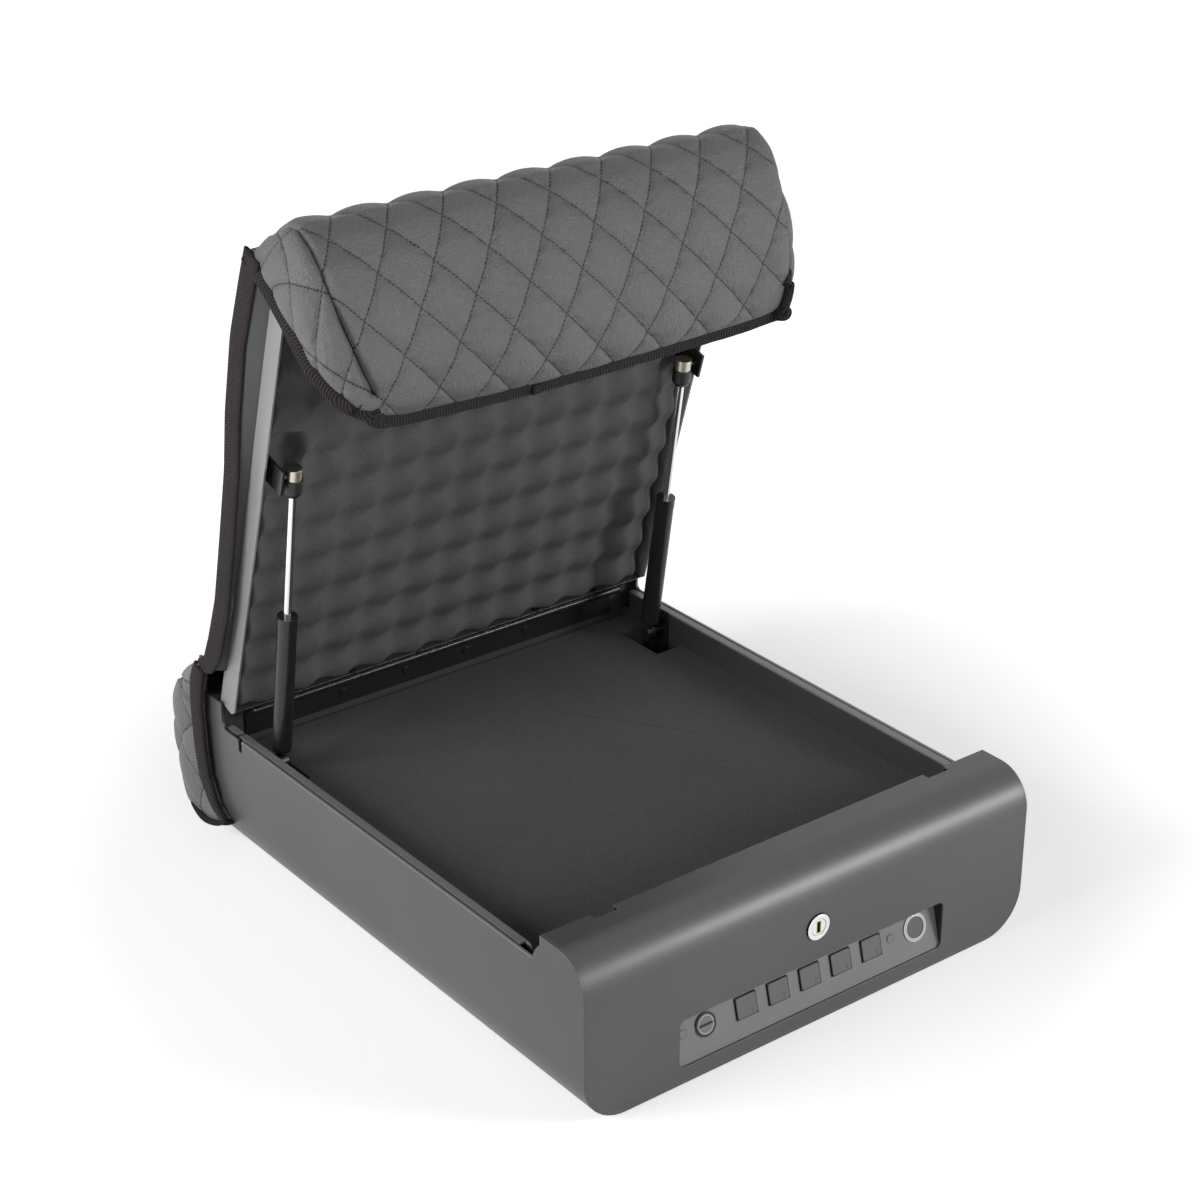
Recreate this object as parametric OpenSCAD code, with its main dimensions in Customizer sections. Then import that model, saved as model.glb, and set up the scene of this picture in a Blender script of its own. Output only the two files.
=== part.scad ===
// Biometric safe with a quilted cover.
// X runs across the body, +Y to the rear, +Z up. The base rests on z = 0.
// The lid stands open, held by its two gas struts.

/* [Body] */
// Width of the steel body
body_width = 400; // [380:5:480]
// Depth of the steel body
body_depth = 490; // [460:5:560]
// Height of the side rims
rim_height = 105; // [103:1:125]
// Height of the front housing above the rims
step_height = 21; // [20:1:26]
// Depth of the front housing along its top
housing_depth = 47; // [46:1:56]
// Length of the rear ears
ear_length = 42; // [38:1:43]
// Outer radius of the two long bottom edges
edge_radius = 34; // [20:1:38]
// Radius of the bullnose
nose_radius = 28; // [16:1:34]
// Sheet of the shell
shell_sheet = 2; // [1.5:0.1:2.4]
// Sheet of the covers, walls and liners
wall_sheet = 1.5; // [1:0.1:1.8]
// Gap inside each side wall
side_gap = 6; // [5:0.5:7]
// Radius of the four anchor holes in the floor
anchor_radius = 4; // [3:0.5:6]
// Spacing of the anchor holes across
anchor_spacing_x = 240; // [180:10:280]
// Spacing of the anchor holes front to rear
anchor_spacing_y = 300; // [200:10:340]

/* [Foam] */
// Height of the foam floor above the ground
foam_top = 81; // [74:1:81]
// Thickness of the foam mat on top
mat_thickness = 21; // [15:1:30]
// Width of each strut well
well_width = 24.5; // [24:0.5:32]
// Length of each strut well
well_length = 50; // [48:1:70]
// Pitch of the bumps of the lid foam
bump_pitch = 33; // [28:1:40]
// Height of the bumps of the lid foam
bump_height = 6; // [4:0.5:7]

/* [Lid] */
// Angle of the open lid
open_angle = 73; // [70:0.5:74]
// Depth of the lid flanges
lid_depth = 19.5; // [17:0.5:19.5]
// Sheet of the lid
lid_sheet = 1.5; // [1:0.1:1.8]
// Gap between lid and front housing
lid_gap = 2; // [1.5:0.1:3]

/* [Hinge] */
// Knuckle radius
knuckle_radius = 4; // [3.6:0.1:4.4]
// Pin radius
hinge_pin_radius = 1.6; // [1.2:0.1:2]
// Length of the hinge
hinge_length = 352; // [308:4:360]
// Number of knuckles
knuckles = 11; // [7:2:15]
// Gap between knuckles
knuckle_gap = 0.4; // [0.2:0.1:0.8]

/* [Gas struts] */
// Distance of each strut from the middle plane, less than the half width
strut_inset = 24; // [23.5:0.5:26]
// Radius of the strut tube
tube_radius = 7.5; // [6.5:0.1:7.6]
// Radius of the strut rod
rod_radius = 3; // [2.5:0.1:4]
// Length of the tube with collar and foot
tube_length = 130.6; // [126:0.5:134]
// Length of the collar
collar_length = 7.8; // [6:0.2:10]
// Radius of the lid ball
ball_radius = 4.5; // [4:0.1:4.8]

/* [Control panel] */
// Width of the panel window
panel_width = 241; // [236:1:260]
// Height of the panel window
panel_height = 38; // [36:0.5:40]
// Height of the window's lower edge
panel_base = 13; // [12:0.5:16]
// Radius of the window's corners
window_corner = 5; // [3:0.5:6]
// How far the panel leans back
panel_tilt = 14.7; // [8:0.1:16]
// Key width
key_width = 18; // [14:0.5:20]
// Key height
key_height = 16; // [12:0.5:18]
// Key pitch
key_pitch = 28.7; // [26:0.1:29]
// Key travel
key_travel = 0.8; // [0.4:0.1:1]
// Radius of the slotted cap
cap_radius = 8.7; // [8:0.1:10]
// Outer radius of the sensor ring
sensor_radius = 10.6; // [9:0.1:12]
// Radius of the indicator lights
light_radius = 3.2; // [2.4:0.1:3.5]

/* [Lock and latch] */
// Height of the key lock
lock_height = 77.4; // [77:0.1:79]
// Radius of the lock's face ring
lock_face_radius = 10.3; // [10:0.1:12]
// Radius of the lock barrel
lock_barrel_radius = 9; // [8.5:0.1:9.5]
// Radius of the turning plug
plug_radius = 6.5; // [5.5:0.1:7]
// Travel of the latch bar
latch_travel = 8; // [7:0.1:8]
// Distance of each latch hook from the middle
hook_offset = 150; // [145:1:152]

/* [Cover] */
// Pitch of the quilted diamonds
quilt_pitch = 44; // [36:1:52]
// Depth of the sewn channels
quilt_depth = 5; // [2:0.5:6]
// Thickness of the padding on the lid
pad_thickness = 22; // [16:1:24]
// Thickness of the hood padding
hood_thickness = 10; // [8:0.5:10.5]
// Thickness of the rear apron padding
apron_thickness = 20; // [14:1:24]
// How far the cover stands out past each side
cover_overhang = 5; // [4.5:0.5:8]

/* [Hidden] */
$fn = 48;

// Small gaps that the fits share
running_fit = 0.05;
free_gap = 0.3;
cut = 1;

// Body
half_width = body_width / 2;
front_y = -body_depth / 2;
rear_y = body_depth / 2;
top_z = rim_height + step_height;
inner_half = half_width - shell_sheet;
wall_y = front_y + housing_depth;
liner_x = inner_half - side_gap;
liner_in = liner_x - wall_sheet;
cheek_fillet = 8;
ear_fillet = 5;
lip_width = 6;

// Hinge line, and the lid's own frame from it
hinge_y = rear_y - 45;
hinge_z = rim_height + 8;
rail_y = hinge_y + 11.5;
lid_low = rim_height + 0.5 - hinge_z;
lid_high = lid_low + lid_depth;
lid_under = lid_high - lid_sheet;
lid_front = hinge_y - wall_y - lid_gap;
lid_rear = 8;
lid_half = inner_half - 1.5;
leaf_sheet = 1.5;

// Struts: closed and open places of the ball ends
strut_x = half_width - strut_inset;
stud_u = 235;
stud_v = -13;
foot_y = hinge_y - 41;
foot_z = hinge_z - 25;
stud_y = hinge_y - stud_u * cos(open_angle) + stud_v * sin(open_angle);
stud_z = hinge_z + stud_u * sin(open_angle) + stud_v * cos(open_angle);
strut_length = norm([stud_y - foot_y, stud_z - foot_z]);
strut_lean = atan2(foot_y - stud_y, stud_z - foot_z);
collar_at = strut_length - tube_length;
piston_at = collar_at + collar_length + 2;
plate_x = liner_in - 2;

// Lock, latch and motor stations behind the front face
face_back = front_y + wall_sheet;
cam_y = front_y + 24;
bar_y = wall_y - 9;
bar_sheet = 2;
bar_low = lock_height + 2.6;
bar_high = bar_low + 14;
crank_radius = latch_travel / 2 / sin(45);
crank_pin = 2;
slot_gap = 0.4;
motor_x = 0.35 * half_width;
plug_front = front_y - 0.7;
hook_z = bar_low + 10.5;
striker_y = lid_front + 3.5;

// Cover
cover_half = half_width + cover_overhang;
pad_rear = 30;
pad_front = lid_front - 23;

// Helpers

// A box given by two opposite corners
module box(a, b) {
    translate(a) cube(b - a);
}

// A cylinder along Y from y0 to y1
module rod_y(x, z, y0, y1, r) {
    translate([x, y1, z]) rotate([90, 0, 0]) cylinder(r = r, h = y1 - y0);
}

// A cylinder along X from x0 to x1
module rod_x(y, z, x0, x1, r) {
    translate([x0, y, z]) rotate([0, 90, 0]) cylinder(r = r, h = x1 - x0);
}

// A solid that fills the U of the shell at an inset from the outside
module u_fill(inset, y0, y1, z1) {
    hx = half_width - inset;
    r = edge_radius - inset;
    box([-hx, y0, edge_radius], [hx, y1, z1]);
    box([-hx + r, y0, inset], [hx - r, y1, edge_radius + cut]);
    for (s = [-1, 1]) rod_y(s * (hx - r), edge_radius, y0, y1, r);
}

// Side outline of the body, from x0 to x1, at an inset from the outside
module side_outline(x0, x1, inset, y_back) {
    r = nose_radius - inset;
    cy = front_y + nose_radius;
    cz = top_z - nose_radius;
    box([x0, front_y + inset, -cut], [x1, y_back, cz]);
    box([x0, cy, cz - cut], [x1, y_back, top_z - inset]);
    rod_x(cy, cz, x0, x1, r);
}

// The lid's frame: x across, -y from the hinge to the front, z outward
module on_lid() {
    translate([0, hinge_y, hinge_z]) rotate([-open_angle, 0, 0]) children();
}

// The panel's frame: -y outward, z up along the leaning panel
module on_panel() {
    translate([0, front_y + 6.5, panel_base + panel_height / 2])
        rotate([-panel_tilt, 0, 0]) children();
}

// A strut's frame: origin on the lid ball, -z down the strut
module on_strut(side) {
    mirror([side < 0 ? 1 : 0, 0, 0])
        translate([strut_x, stud_y, stud_z]) rotate([strut_lean, 0, 0]) children();
}

// Body

// One sheet bent into a U; its sides carry the front cheeks and the rear ears
module body_shell() {
    color([0.40, 0.40, 0.41]) difference() {
        intersection() {
            difference() {
                u_fill(0, front_y, rear_y, top_z);
                difference() {
                    u_fill(shell_sheet, front_y - cut, rear_y + cut, top_z + cut);
                }
            }
            union() {
                side_outline(-half_width - cut, half_width + cut, 0, wall_y);
                box([-half_width - cut, wall_y - cut, -cut],
                    [half_width + cut, rear_y + cut, rim_height]);
                box([-half_width - cut, rear_y - ear_length, rim_height - cut],
                    [half_width + cut, rear_y + cut, top_z + cut]);
                difference() {
                    box([-half_width - cut, wall_y - cut, rim_height - cut],
                        [half_width + cut, wall_y + cheek_fillet, rim_height + cheek_fillet]);
                    rod_x(wall_y + cheek_fillet, rim_height + cheek_fillet,
                        -half_width - 2 * cut, half_width + 2 * cut, cheek_fillet);
                }
                difference() {
                    box([-half_width - cut, rear_y - ear_length - ear_fillet, rim_height - cut],
                        [half_width + cut, rear_y - ear_length + cut, rim_height + ear_fillet]);
                    rod_x(rear_y - ear_length - ear_fillet, rim_height + ear_fillet,
                        -half_width - 2 * cut, half_width + 2 * cut, ear_fillet);
                }
            }
        }
        box([-half_width - cut, hinge_y - 24.5, rim_height - 10],
            [half_width + cut, hinge_y - 20, rim_height + cut]);
        for (sx = [-1, 1], sy = [-1, 1])
            translate([sx * anchor_spacing_x / 2, sy * anchor_spacing_y / 2, -cut])
                cylinder(r = anchor_radius, h = shell_sheet + 2 * cut);
    }
}

// Room of the panel window, with round corners
module panel_window() {
    side = panel_width / 2;
    low = panel_base + window_corner;
    high = panel_base + panel_height - window_corner;
    box([-side + window_corner, front_y - cut, panel_base],
        [side - window_corner, front_y + 6, panel_base + panel_height]);
    box([-side, front_y - cut, low], [side, front_y + 6, high]);
    for (x = [-side + window_corner, side - window_corner])
        for (z = [low, high])
            rod_y(x, z, front_y - cut, front_y + 6, window_corner);
}

// Bullnose sheet between the cheeks, with the panel window and the lock hole
module front_cover() {
    color([0.38, 0.38, 0.39]) difference() {
        intersection() {
            difference() {
                side_outline(-inner_half, inner_half, 0, wall_y);
                difference() {
                    side_outline(-half_width, half_width, wall_sheet, wall_y + cut);
                    box([-half_width, wall_y - wall_sheet, top_z - 14],
                        [half_width, wall_y + 2 * cut, top_z]);
                }
            }
            u_fill(shell_sheet, front_y - cut, wall_y + cut, top_z + cut);
        }
        panel_window();
        rod_y(0, lock_height, front_y - cut, front_y + 6, lock_barrel_radius + free_gap);
        for (s = [-1, 1])
            box([s * hook_offset - 10, wall_y - 6, top_z - 20],
                [s * hook_offset + 10, wall_y + cut, top_z + cut]);
    }
}

// Wall between the front housing and the cavity, with the battery window
module bulkhead() {
    color([0.25, 0.25, 0.26]) difference() {
        intersection() {
            box([-inner_half, wall_y, 0], [inner_half, wall_y + wall_sheet, rim_height - 1]);
            u_fill(shell_sheet, wall_y - cut, wall_y + 3, top_z);
        }
        box([battery_x - 27, wall_y - cut, battery_z - 24],
            [battery_x + 27, wall_y + 3, battery_z + 24]);
    }
}

// Inner side wall, with a tab and a slot at its rear and a round front end
module liner(side) {
    color([0.22, 0.22, 0.23]) mirror([side < 0 ? 1 : 0, 0, 0]) difference() {
        union() {
            intersection() {
                box([liner_in, wall_y + wall_sheet, 0], [liner_x, rail_y, rim_height]);
                u_fill(shell_sheet, wall_y, rail_y + cut, top_z);
            }
            box([liner_in, wall_y + 26, rim_height - wall_sheet],
                [liner_in + lip_width, rail_y, rim_height]);
        }
        box([liner_in - cut, wall_y, rim_height - 8], [liner_x + cut, wall_y + 18, top_z]);
        difference() {
            box([liner_in - cut, wall_y + 18 - cut, rim_height - 8],
                [liner_x + cut, wall_y + 26, rim_height + cut]);
            rod_x(wall_y + 26, rim_height - 8, liner_in - 2 * cut, liner_x + 2 * cut, 8);
        }
        box([liner_in - cut, hinge_y - 16.5, rim_height - 6],
            [half_width, hinge_y - 13.5, rim_height + cut]);
        box([liner_in - cut, hinge_y + 2.5, rim_height - 16],
            [half_width, rail_y + cut, rim_height + cut]);
    }
}

module liner_left() {
    liner(-1);
}

module liner_right() {
    liner(1);
}

// Rear wall of the cavity and the strip between the ears
module rear_rail() {
    color([0.30, 0.30, 0.31]) intersection() {
        union() {
            box([-inner_half, rail_y, 0], [inner_half, rail_y + wall_sheet, top_z]);
            box([-inner_half, rail_y, top_z - wall_sheet], [inner_half, rear_y - wall_sheet, top_z]);
        }
        u_fill(shell_sheet, rail_y - cut, rear_y, top_z);
    }
}

// Rear panel
module rear_panel() {
    color([0.38, 0.38, 0.39]) intersection() {
        box([-inner_half, rear_y - wall_sheet, 0], [inner_half, rear_y, top_z]);
        u_fill(shell_sheet, rear_y - 5, rear_y + cut, top_z);
    }
}

// Foam

foam_front = wall_y + wall_sheet + 3;

// Foam block under the mat
module foam_block() {
    color([0.20, 0.20, 0.21]) intersection() {
        box([-liner_in, foam_front, 0], [liner_in, rail_y - 2, foam_top - mat_thickness]);
        u_fill(shell_sheet, wall_y, rear_y, top_z);
    }
}

// Foam mat with a well at each strut foot
module foam_mat() {
    color([0.26, 0.26, 0.27]) difference() {
        box([-liner_in, foam_front, foam_top - mat_thickness], [liner_in, rail_y - 2, foam_top]);
        for (s = [-1, 1])
            box([s * (liner_in - well_width / 2) - well_width / 2 - (s < 0 ? cut : 0),
                    foot_y - 0.49 * well_length, foam_top - mat_thickness - cut],
                [s * (liner_in - well_width / 2) + well_width / 2 + (s > 0 ? cut : 0),
                    foot_y + 0.51 * well_length, foam_top + cut]);
    }
}

// Control panel

plate_sheet = 2.5;
plate_half = panel_width / 2 - 0.5;
plate_up = panel_height / 2 / cos(panel_tilt) - 0.6;
item_z = 2;
cap_x = -0.386 * panel_width;
sensor_x = 0.4145 * panel_width;
light_xs = [-0.4664 * panel_width, 0.3166 * panel_width];
shank_radius = 5.6;
key_gap = 0.3;
key_rise = 1.4;
cap_rise = 1.2;
lock_rise = 0.9;
board_y = 9;

// Tray behind the window, with the leaning plate that carries the controls
module panel_tray() {
    color([0.47, 0.49, 0.49]) difference() {
        union() {
            box([-panel_width / 2 - 5, face_back, panel_base - 5],
                [panel_width / 2 + 5, face_back + 1.5, panel_base + panel_height + 5]);
            box([-panel_width / 2 - 2, face_back, panel_base - 2],
                [panel_width / 2 + 2, face_back + 16, panel_base + panel_height + 2]);
        }
        intersection() {
            on_panel() box([-plate_half, -40, -60], [plate_half, 0, 60]);
            box([-plate_half, front_y - 20, panel_base + 0.5],
                [plate_half, rear_y, panel_base + panel_height - 0.5]);
        }
        intersection() {
            on_panel() box([-plate_half, plate_sheet, -60], [plate_half, 60, 60]);
            box([-plate_half, front_y + 3.6, panel_base + 0.5],
                [plate_half, rear_y, panel_base + panel_height - 0.5]);
        }
        on_panel() {
            for (i = [-2:2])
                box([i * key_pitch - key_width / 2 - key_gap, -cut, item_z - key_height / 2 - key_gap],
                    [i * key_pitch + key_width / 2 + key_gap, plate_sheet + cut,
                        item_z + key_height / 2 + key_gap]);
            rod_y(cap_x, item_z, -cut, plate_sheet + cut, shank_radius + running_fit);
            rod_y(sensor_x, item_z, -cut, plate_sheet + cut, sensor_radius - 1.5);
            for (x = light_xs) rod_y(x, item_z, -cut, plate_sheet + cut, light_radius);
        }
    }
}

// One key cap: a face, and a lip behind the plate that keeps it in
module key_cap(i) {
    color([0.42, 0.43, 0.43]) on_panel() translate([i * key_pitch, 0, item_z]) {
        box([-key_width / 2, -key_rise, -key_height / 2], [key_width / 2, 4, key_height / 2]);
        box([-key_width / 2 - 1, plate_sheet + key_gap, -key_height / 2 - 1],
            [key_width / 2 + 1, 4, key_height / 2 + 1]);
    }
}

module key_1() {
    key_cap(-2);
}

module key_2() {
    key_cap(-1);
}

module key_3() {
    key_cap(0);
}

module key_4() {
    key_cap(1);
}

module key_5() {
    key_cap(2);
}

// Slotted cap over the power socket, a quarter turn to open
module power_cap() {
    color([0.44, 0.45, 0.45]) on_panel() translate([cap_x, 0, item_z]) difference() {
        union() {
            rod_y(0, 0, -cap_rise, -0.2, cap_radius);
            rod_y(0, 0, -0.5, plate_sheet + 1.2, shank_radius);
            rod_y(0, 0, plate_sheet + 0.2, plate_sheet + 1.2, shank_radius + 1.2);
        }
        box([-cap_radius - cut, -cap_rise - cut, -0.9], [cap_radius + cut, -0.55, 0.9]);
    }
}

// The two small lights
module indicators() {
    color([0.05, 0.05, 0.06]) on_panel()
        for (x = light_xs) rod_y(x, item_z, -0.4, plate_sheet + 2, light_radius);
}

// Metal ring round the sensor
module sensor_ring() {
    color([0.75, 0.75, 0.76]) on_panel() difference() {
        union() {
            rod_y(sensor_x, item_z, -0.8, 0, sensor_radius);
            rod_y(sensor_x, item_z, -cut, plate_sheet + 1, sensor_radius - 1.5);
        }
        rod_y(sensor_x, item_z, -3, plate_sheet + 2, sensor_radius - 2.6);
    }
}

// Touch face of the sensor
module sensor_pad() {
    color([0.03, 0.03, 0.035]) on_panel()
        rod_y(sensor_x, item_z, -0.4, plate_sheet + 3, sensor_radius - 2.6);
}

// Circuit board behind the plate, with one switch under each key
module key_board() {
    color([0.05, 0.25, 0.12]) on_panel() {
        box([-plate_half + 3, board_y, item_z - 15], [plate_half - 3, board_y + 1.6, item_z + 12]);
        for (i = [-2:2])
            box([i * key_pitch - 3, 4 + key_travel + key_gap, item_z - 3],
                [i * key_pitch + 3, board_y, item_z + 3]);
    }
}

// Power socket behind the slotted cap
module power_socket() {
    color([0.04, 0.04, 0.04]) on_panel() difference() {
        rod_y(cap_x, item_z, plate_sheet + 1.6, board_y, 4);
        rod_y(cap_x, item_z, plate_sheet + 1, board_y - 1, 2.8);
    }
}

board_back = wall_y - 14;
board_x = 60 - half_width;
ribbon_y = front_y + 6.5 + (board_y + 1.6) * cos(panel_tilt) + (item_z + 12) * sin(panel_tilt) + 0.2;

// Main board on posts at the bulkhead
module control_board() {
    color([0.05, 0.22, 0.12]) {
        box([board_x - 35, board_back - 1.6, 14], [board_x + 35, board_back, 70]);
        box([board_x - 12, board_back - 4, 30], [board_x + 6, board_back - 1.6, 48]);
        box([board_x + 14, board_back - 8, 20], [board_x + 30, board_back - 1.6, 32]);
        for (x = [-30, 30], z = [18, 66])
            rod_y(board_x + x, z, board_back, wall_y, 3);
    }
}

// Flat cable from the key board to the main board, held at both ends
module ribbon_cable() {
    color([0.55, 0.55, 0.56]) {
        box([board_x + 20, board_back - 2.4, 52], [board_x + 34, board_back - 1.6, 60]);
        box([board_x + 20, board_back - 2.4, 59.2], [board_x + 34, board_back - 1.6, 66]);
        box([board_x + 20, ribbon_y, 57], [board_x + 34, board_back - 1.6, 57.8]);
        box([board_x + 20, ribbon_y, 40], [board_x + 34, ribbon_y + 0.8, 57.8]);
    }
}

battery_x = half_width - 67;
battery_z = 45;
cell_radius = 7.2;

// Battery box on the front of the bulkhead
module battery_box() {
    color([0.06, 0.06, 0.06]) difference() {
        box([battery_x - 33, wall_y - 18, battery_z - 29], [battery_x + 33, wall_y, battery_z + 29]);
        box([battery_x - 31, wall_y - 16, battery_z - 27], [battery_x + 31, wall_y + cut, battery_z + 27]);
    }
}

// Four cells standing side by side
module battery_cells() {
    color([0.30, 0.32, 0.36])
        for (i = [-1.5:1.5])
            translate([battery_x + i * 15, wall_y - 8.2, battery_z - 26.5]) {
                cylinder(r = cell_radius, h = 50);
                cylinder(r = 2.7, h = 51.5);
            }
}

// Battery door on the cavity side, with its two screws
module battery_door() {
    color([0.10, 0.10, 0.10]) {
        box([battery_x - 32, wall_y + wall_sheet, battery_z - 28],
            [battery_x + 32, wall_y + wall_sheet + 1.5, battery_z + 28]);
        for (s = [-1, 1])
            rod_y(battery_x + s * 29, battery_z, wall_y + wall_sheet + 1, wall_y + wall_sheet + 2.5, 2.2);
    }
}

// Key lock

// Lock housing: face ring and barrel
module lock_housing() {
    color([0.12, 0.12, 0.13]) difference() {
        union() {
            rod_y(0, lock_height, front_y - lock_rise, front_y, lock_face_radius);
            rod_y(0, lock_height, front_y - cut, cam_y - 1, lock_barrel_radius);
        }
        rod_y(0, lock_height, front_y - 3, cam_y, plug_radius + running_fit);
    }
}

// Turning plug with its key slot
module lock_plug() {
    color([0.80, 0.80, 0.80]) difference() {
        rod_y(0, lock_height, plug_front, cam_y, plug_radius);
        box([-1, plug_front - cut, lock_height - 4], [1, plug_front + 16, lock_height + 4]);
    }
}

// Nut that clamps the lock to the cover
module lock_nut() {
    color([0.65, 0.65, 0.66]) difference() {
        translate([0, face_back + 3.5, lock_height]) rotate([90, 0, 0])
            cylinder(r = lock_barrel_radius + 4, h = 3.5, $fn = 6);
        rod_y(0, lock_height, front_y, face_back + 5, lock_barrel_radius);
    }
}

// Crank arm with a pin that drives the latch bar
module crank(x) {
    rod_y(x, lock_height, cam_y, cam_y + 2.5, crank_radius + 3.5);
    rod_y(x + latch_travel / 2, lock_height + latch_travel / 2, cam_y + 2,
        bar_y + bar_sheet + 0.5, crank_pin);
}

module lock_cam() {
    color([0.70, 0.60, 0.35]) crank(0);
}

// Latch bar: slots for the two cranks, and one hook at each striker
module latch_bar() {
    color([0.66, 0.66, 0.67]) {
        difference() {
            union() {
                box([-hook_offset - 6, bar_y, bar_low], [hook_offset + 16, bar_y + bar_sheet, bar_high]);
                for (x = [0, motor_x])
                    box([x - 12, bar_y, bar_low - 5], [x + 16, bar_y + bar_sheet, bar_low + cut]);
            }
            for (x = [0, motor_x]) {
                box([x + latch_travel / 2 - crank_pin - slot_gap, bar_y - cut,
                        lock_height + latch_travel / 2 - crank_pin - slot_gap],
                    [x + latch_travel / 2 + crank_pin + slot_gap, bar_y + bar_sheet + cut,
                        lock_height + crank_radius + crank_pin + slot_gap]);
            }
        }
        for (s = [-1, 1])
            box([s * hook_offset + 9, bar_y + 1, hook_z - 2.5],
                [s * hook_offset + 14, wall_y - 1.3, hook_z + 2.5]);
    }
}

// Guides on the bulkhead that hold the bar
module latch_guides() {
    color([0.35, 0.35, 0.36])
        for (x = [-0.7 * hook_offset, 0.7 * hook_offset]) difference() {
            box([x - 6, bar_y - 2.5, bar_low - 3.4], [x + 6, wall_y, bar_high + 3.4]);
            box([x - 6 - cut, bar_y - free_gap, bar_low - free_gap],
                [x + 6 + cut, bar_y + bar_sheet + free_gap, bar_high + free_gap]);
            box([x - 6 - cut, bar_y + bar_sheet, bar_low + 2], [x + 6 + cut, wall_y - 1.5, bar_high - 2]);
        }
}

// Flat gear motor, its bracket, and its crank
module gear_motor() {
    color([0.60, 0.60, 0.62]) difference() {
        rod_y(motor_x, lock_height, face_back + 1.5, cam_y - 3, 10.5);
        rod_y(motor_x, lock_height, cam_y - 12, cam_y, 1.5 + running_fit);
    }
}

module motor_bracket() {
    color([0.45, 0.45, 0.46]) difference() {
        box([motor_x - 18, face_back, lock_height - 12], [motor_x + 18, face_back + 1.5, lock_height + 12]);
        for (s = [-1, 1]) rod_y(motor_x + s * 14, lock_height, face_back - cut, face_back + 3, 1.6);
    }
}

module motor_crank() {
    color([0.70, 0.70, 0.71]) {
        crank(motor_x);
        rod_y(motor_x, lock_height, cam_y - 8, cam_y + 1, 1.5);
    }
}

// Hinge

knuckle_step = hinge_length / knuckles;
rivet_pitch = hinge_length / 6;

// The knuckles of one leaf: every second one, starting at the given one
module knuckle_row(first, bore) {
    for (i = [first:2:knuckles - 1]) difference() {
        rod_x(0, 0, -hinge_length / 2 + i * knuckle_step + knuckle_gap / 2,
            -hinge_length / 2 + (i + 1) * knuckle_step - knuckle_gap / 2, knuckle_radius);
        rod_x(0, 0, -half_width, half_width, bore);
    }
}

// Clear round the knuckles of the other leaf
module knuckle_relief(first) {
    for (i = [first:2:knuckles - 1])
        rod_x(0, 0, -hinge_length / 2 + i * knuckle_step - knuckle_gap / 2,
            -hinge_length / 2 + (i + 1) * knuckle_step + knuckle_gap / 2,
            knuckle_radius + free_gap);
}

// Leaf on the rear rail
module hinge_base_leaf() {
    color([0.55, 0.55, 0.56]) translate([0, hinge_y, hinge_z]) {
        knuckle_row(0, hinge_pin_radius);
        difference() {
            union() {
                box([-hinge_length / 2, 0, -knuckle_radius],
                    [hinge_length / 2, rail_y - hinge_y, -knuckle_radius + leaf_sheet]);
                box([-hinge_length / 2, rail_y - hinge_y - leaf_sheet, -26],
                    [hinge_length / 2, rail_y - hinge_y, -knuckle_radius + leaf_sheet]);
            }
            knuckle_relief(1);
            rod_x(0, 0, -half_width, half_width, hinge_pin_radius + cut);
        }
    }
}

// Leaf on the lid's rear flange
module hinge_lid_leaf() {
    color([0.55, 0.55, 0.56]) on_lid() {
        knuckle_row(1, hinge_pin_radius + running_fit);
        difference() {
            union() {
                box([-hinge_length / 2, -lid_rear, knuckle_radius - leaf_sheet],
                    [hinge_length / 2, 0, knuckle_radius]);
                box([-hinge_length / 2, -lid_rear, lid_low + 1],
                    [hinge_length / 2, -lid_rear + leaf_sheet, knuckle_radius]);
            }
            knuckle_relief(0);
            rod_x(0, 0, -half_width, half_width, hinge_pin_radius + cut);
        }
    }
}

// Hinge pin
module hinge_pin() {
    color([0.70, 0.70, 0.71])
        rod_x(hinge_y, hinge_z, -hinge_length / 2 - 1, hinge_length / 2 + 1, hinge_pin_radius);
}

// Rivet heads on the two leaves
module hinge_rivets_base() {
    color([0.60, 0.60, 0.61])
        for (i = [0:5])
            rod_y((i - 2.5) * rivet_pitch, hinge_z - 16, rail_y - leaf_sheet - 1.2, rail_y - leaf_sheet, 3);
}

module hinge_rivets_lid() {
    color([0.60, 0.60, 0.61]) on_lid()
        for (i = [0:5])
            rod_y((i - 2.5) * rivet_pitch, lid_low + 4.5,
                -lid_rear - lid_sheet - 1.2, -lid_rear - lid_sheet, 2.5);
}

// Strut brackets

// Lower bracket on the liner; its ball stud stops just short of the strut's foot
module strut_foot(side) {
    color([0.10, 0.10, 0.10]) mirror([side < 0 ? 1 : 0, 0, 0]) {
        box([plate_x, foot_y - 9, foam_top - mat_thickness + 1], [liner_in, foot_y + 9, foot_z + 9]);
        rod_x(foot_y, foot_z, strut_x + 3.5 + free_gap, plate_x + cut, 3);
    }
}

module strut_foot_left() {
    strut_foot(-1);
}

module strut_foot_right() {
    strut_foot(1);
}

stud_radius = 2.2;

// Upper bracket in the lid, with its ball stud
module lid_stud(side) {
    color([0.13, 0.13, 0.13]) on_lid() mirror([side < 0 ? 1 : 0, 0, 0]) {
        box([strut_x - 9, -stud_u - 20, lid_under - 1.5], [liner_in - 1, -stud_u + 20, lid_under]);
        box([liner_in - 3, -stud_u - 10, stud_v - 7], [liner_in - 1, -stud_u + 10, lid_under]);
        rod_x(-stud_u, stud_v, strut_x, liner_in - 2, stud_radius);
        translate([strut_x, -stud_u, stud_v]) sphere(r = ball_radius);
    }
}

module lid_stud_left() {
    lid_stud(-1);
}

module lid_stud_right() {
    lid_stud(1);
}

// Lid

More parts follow.
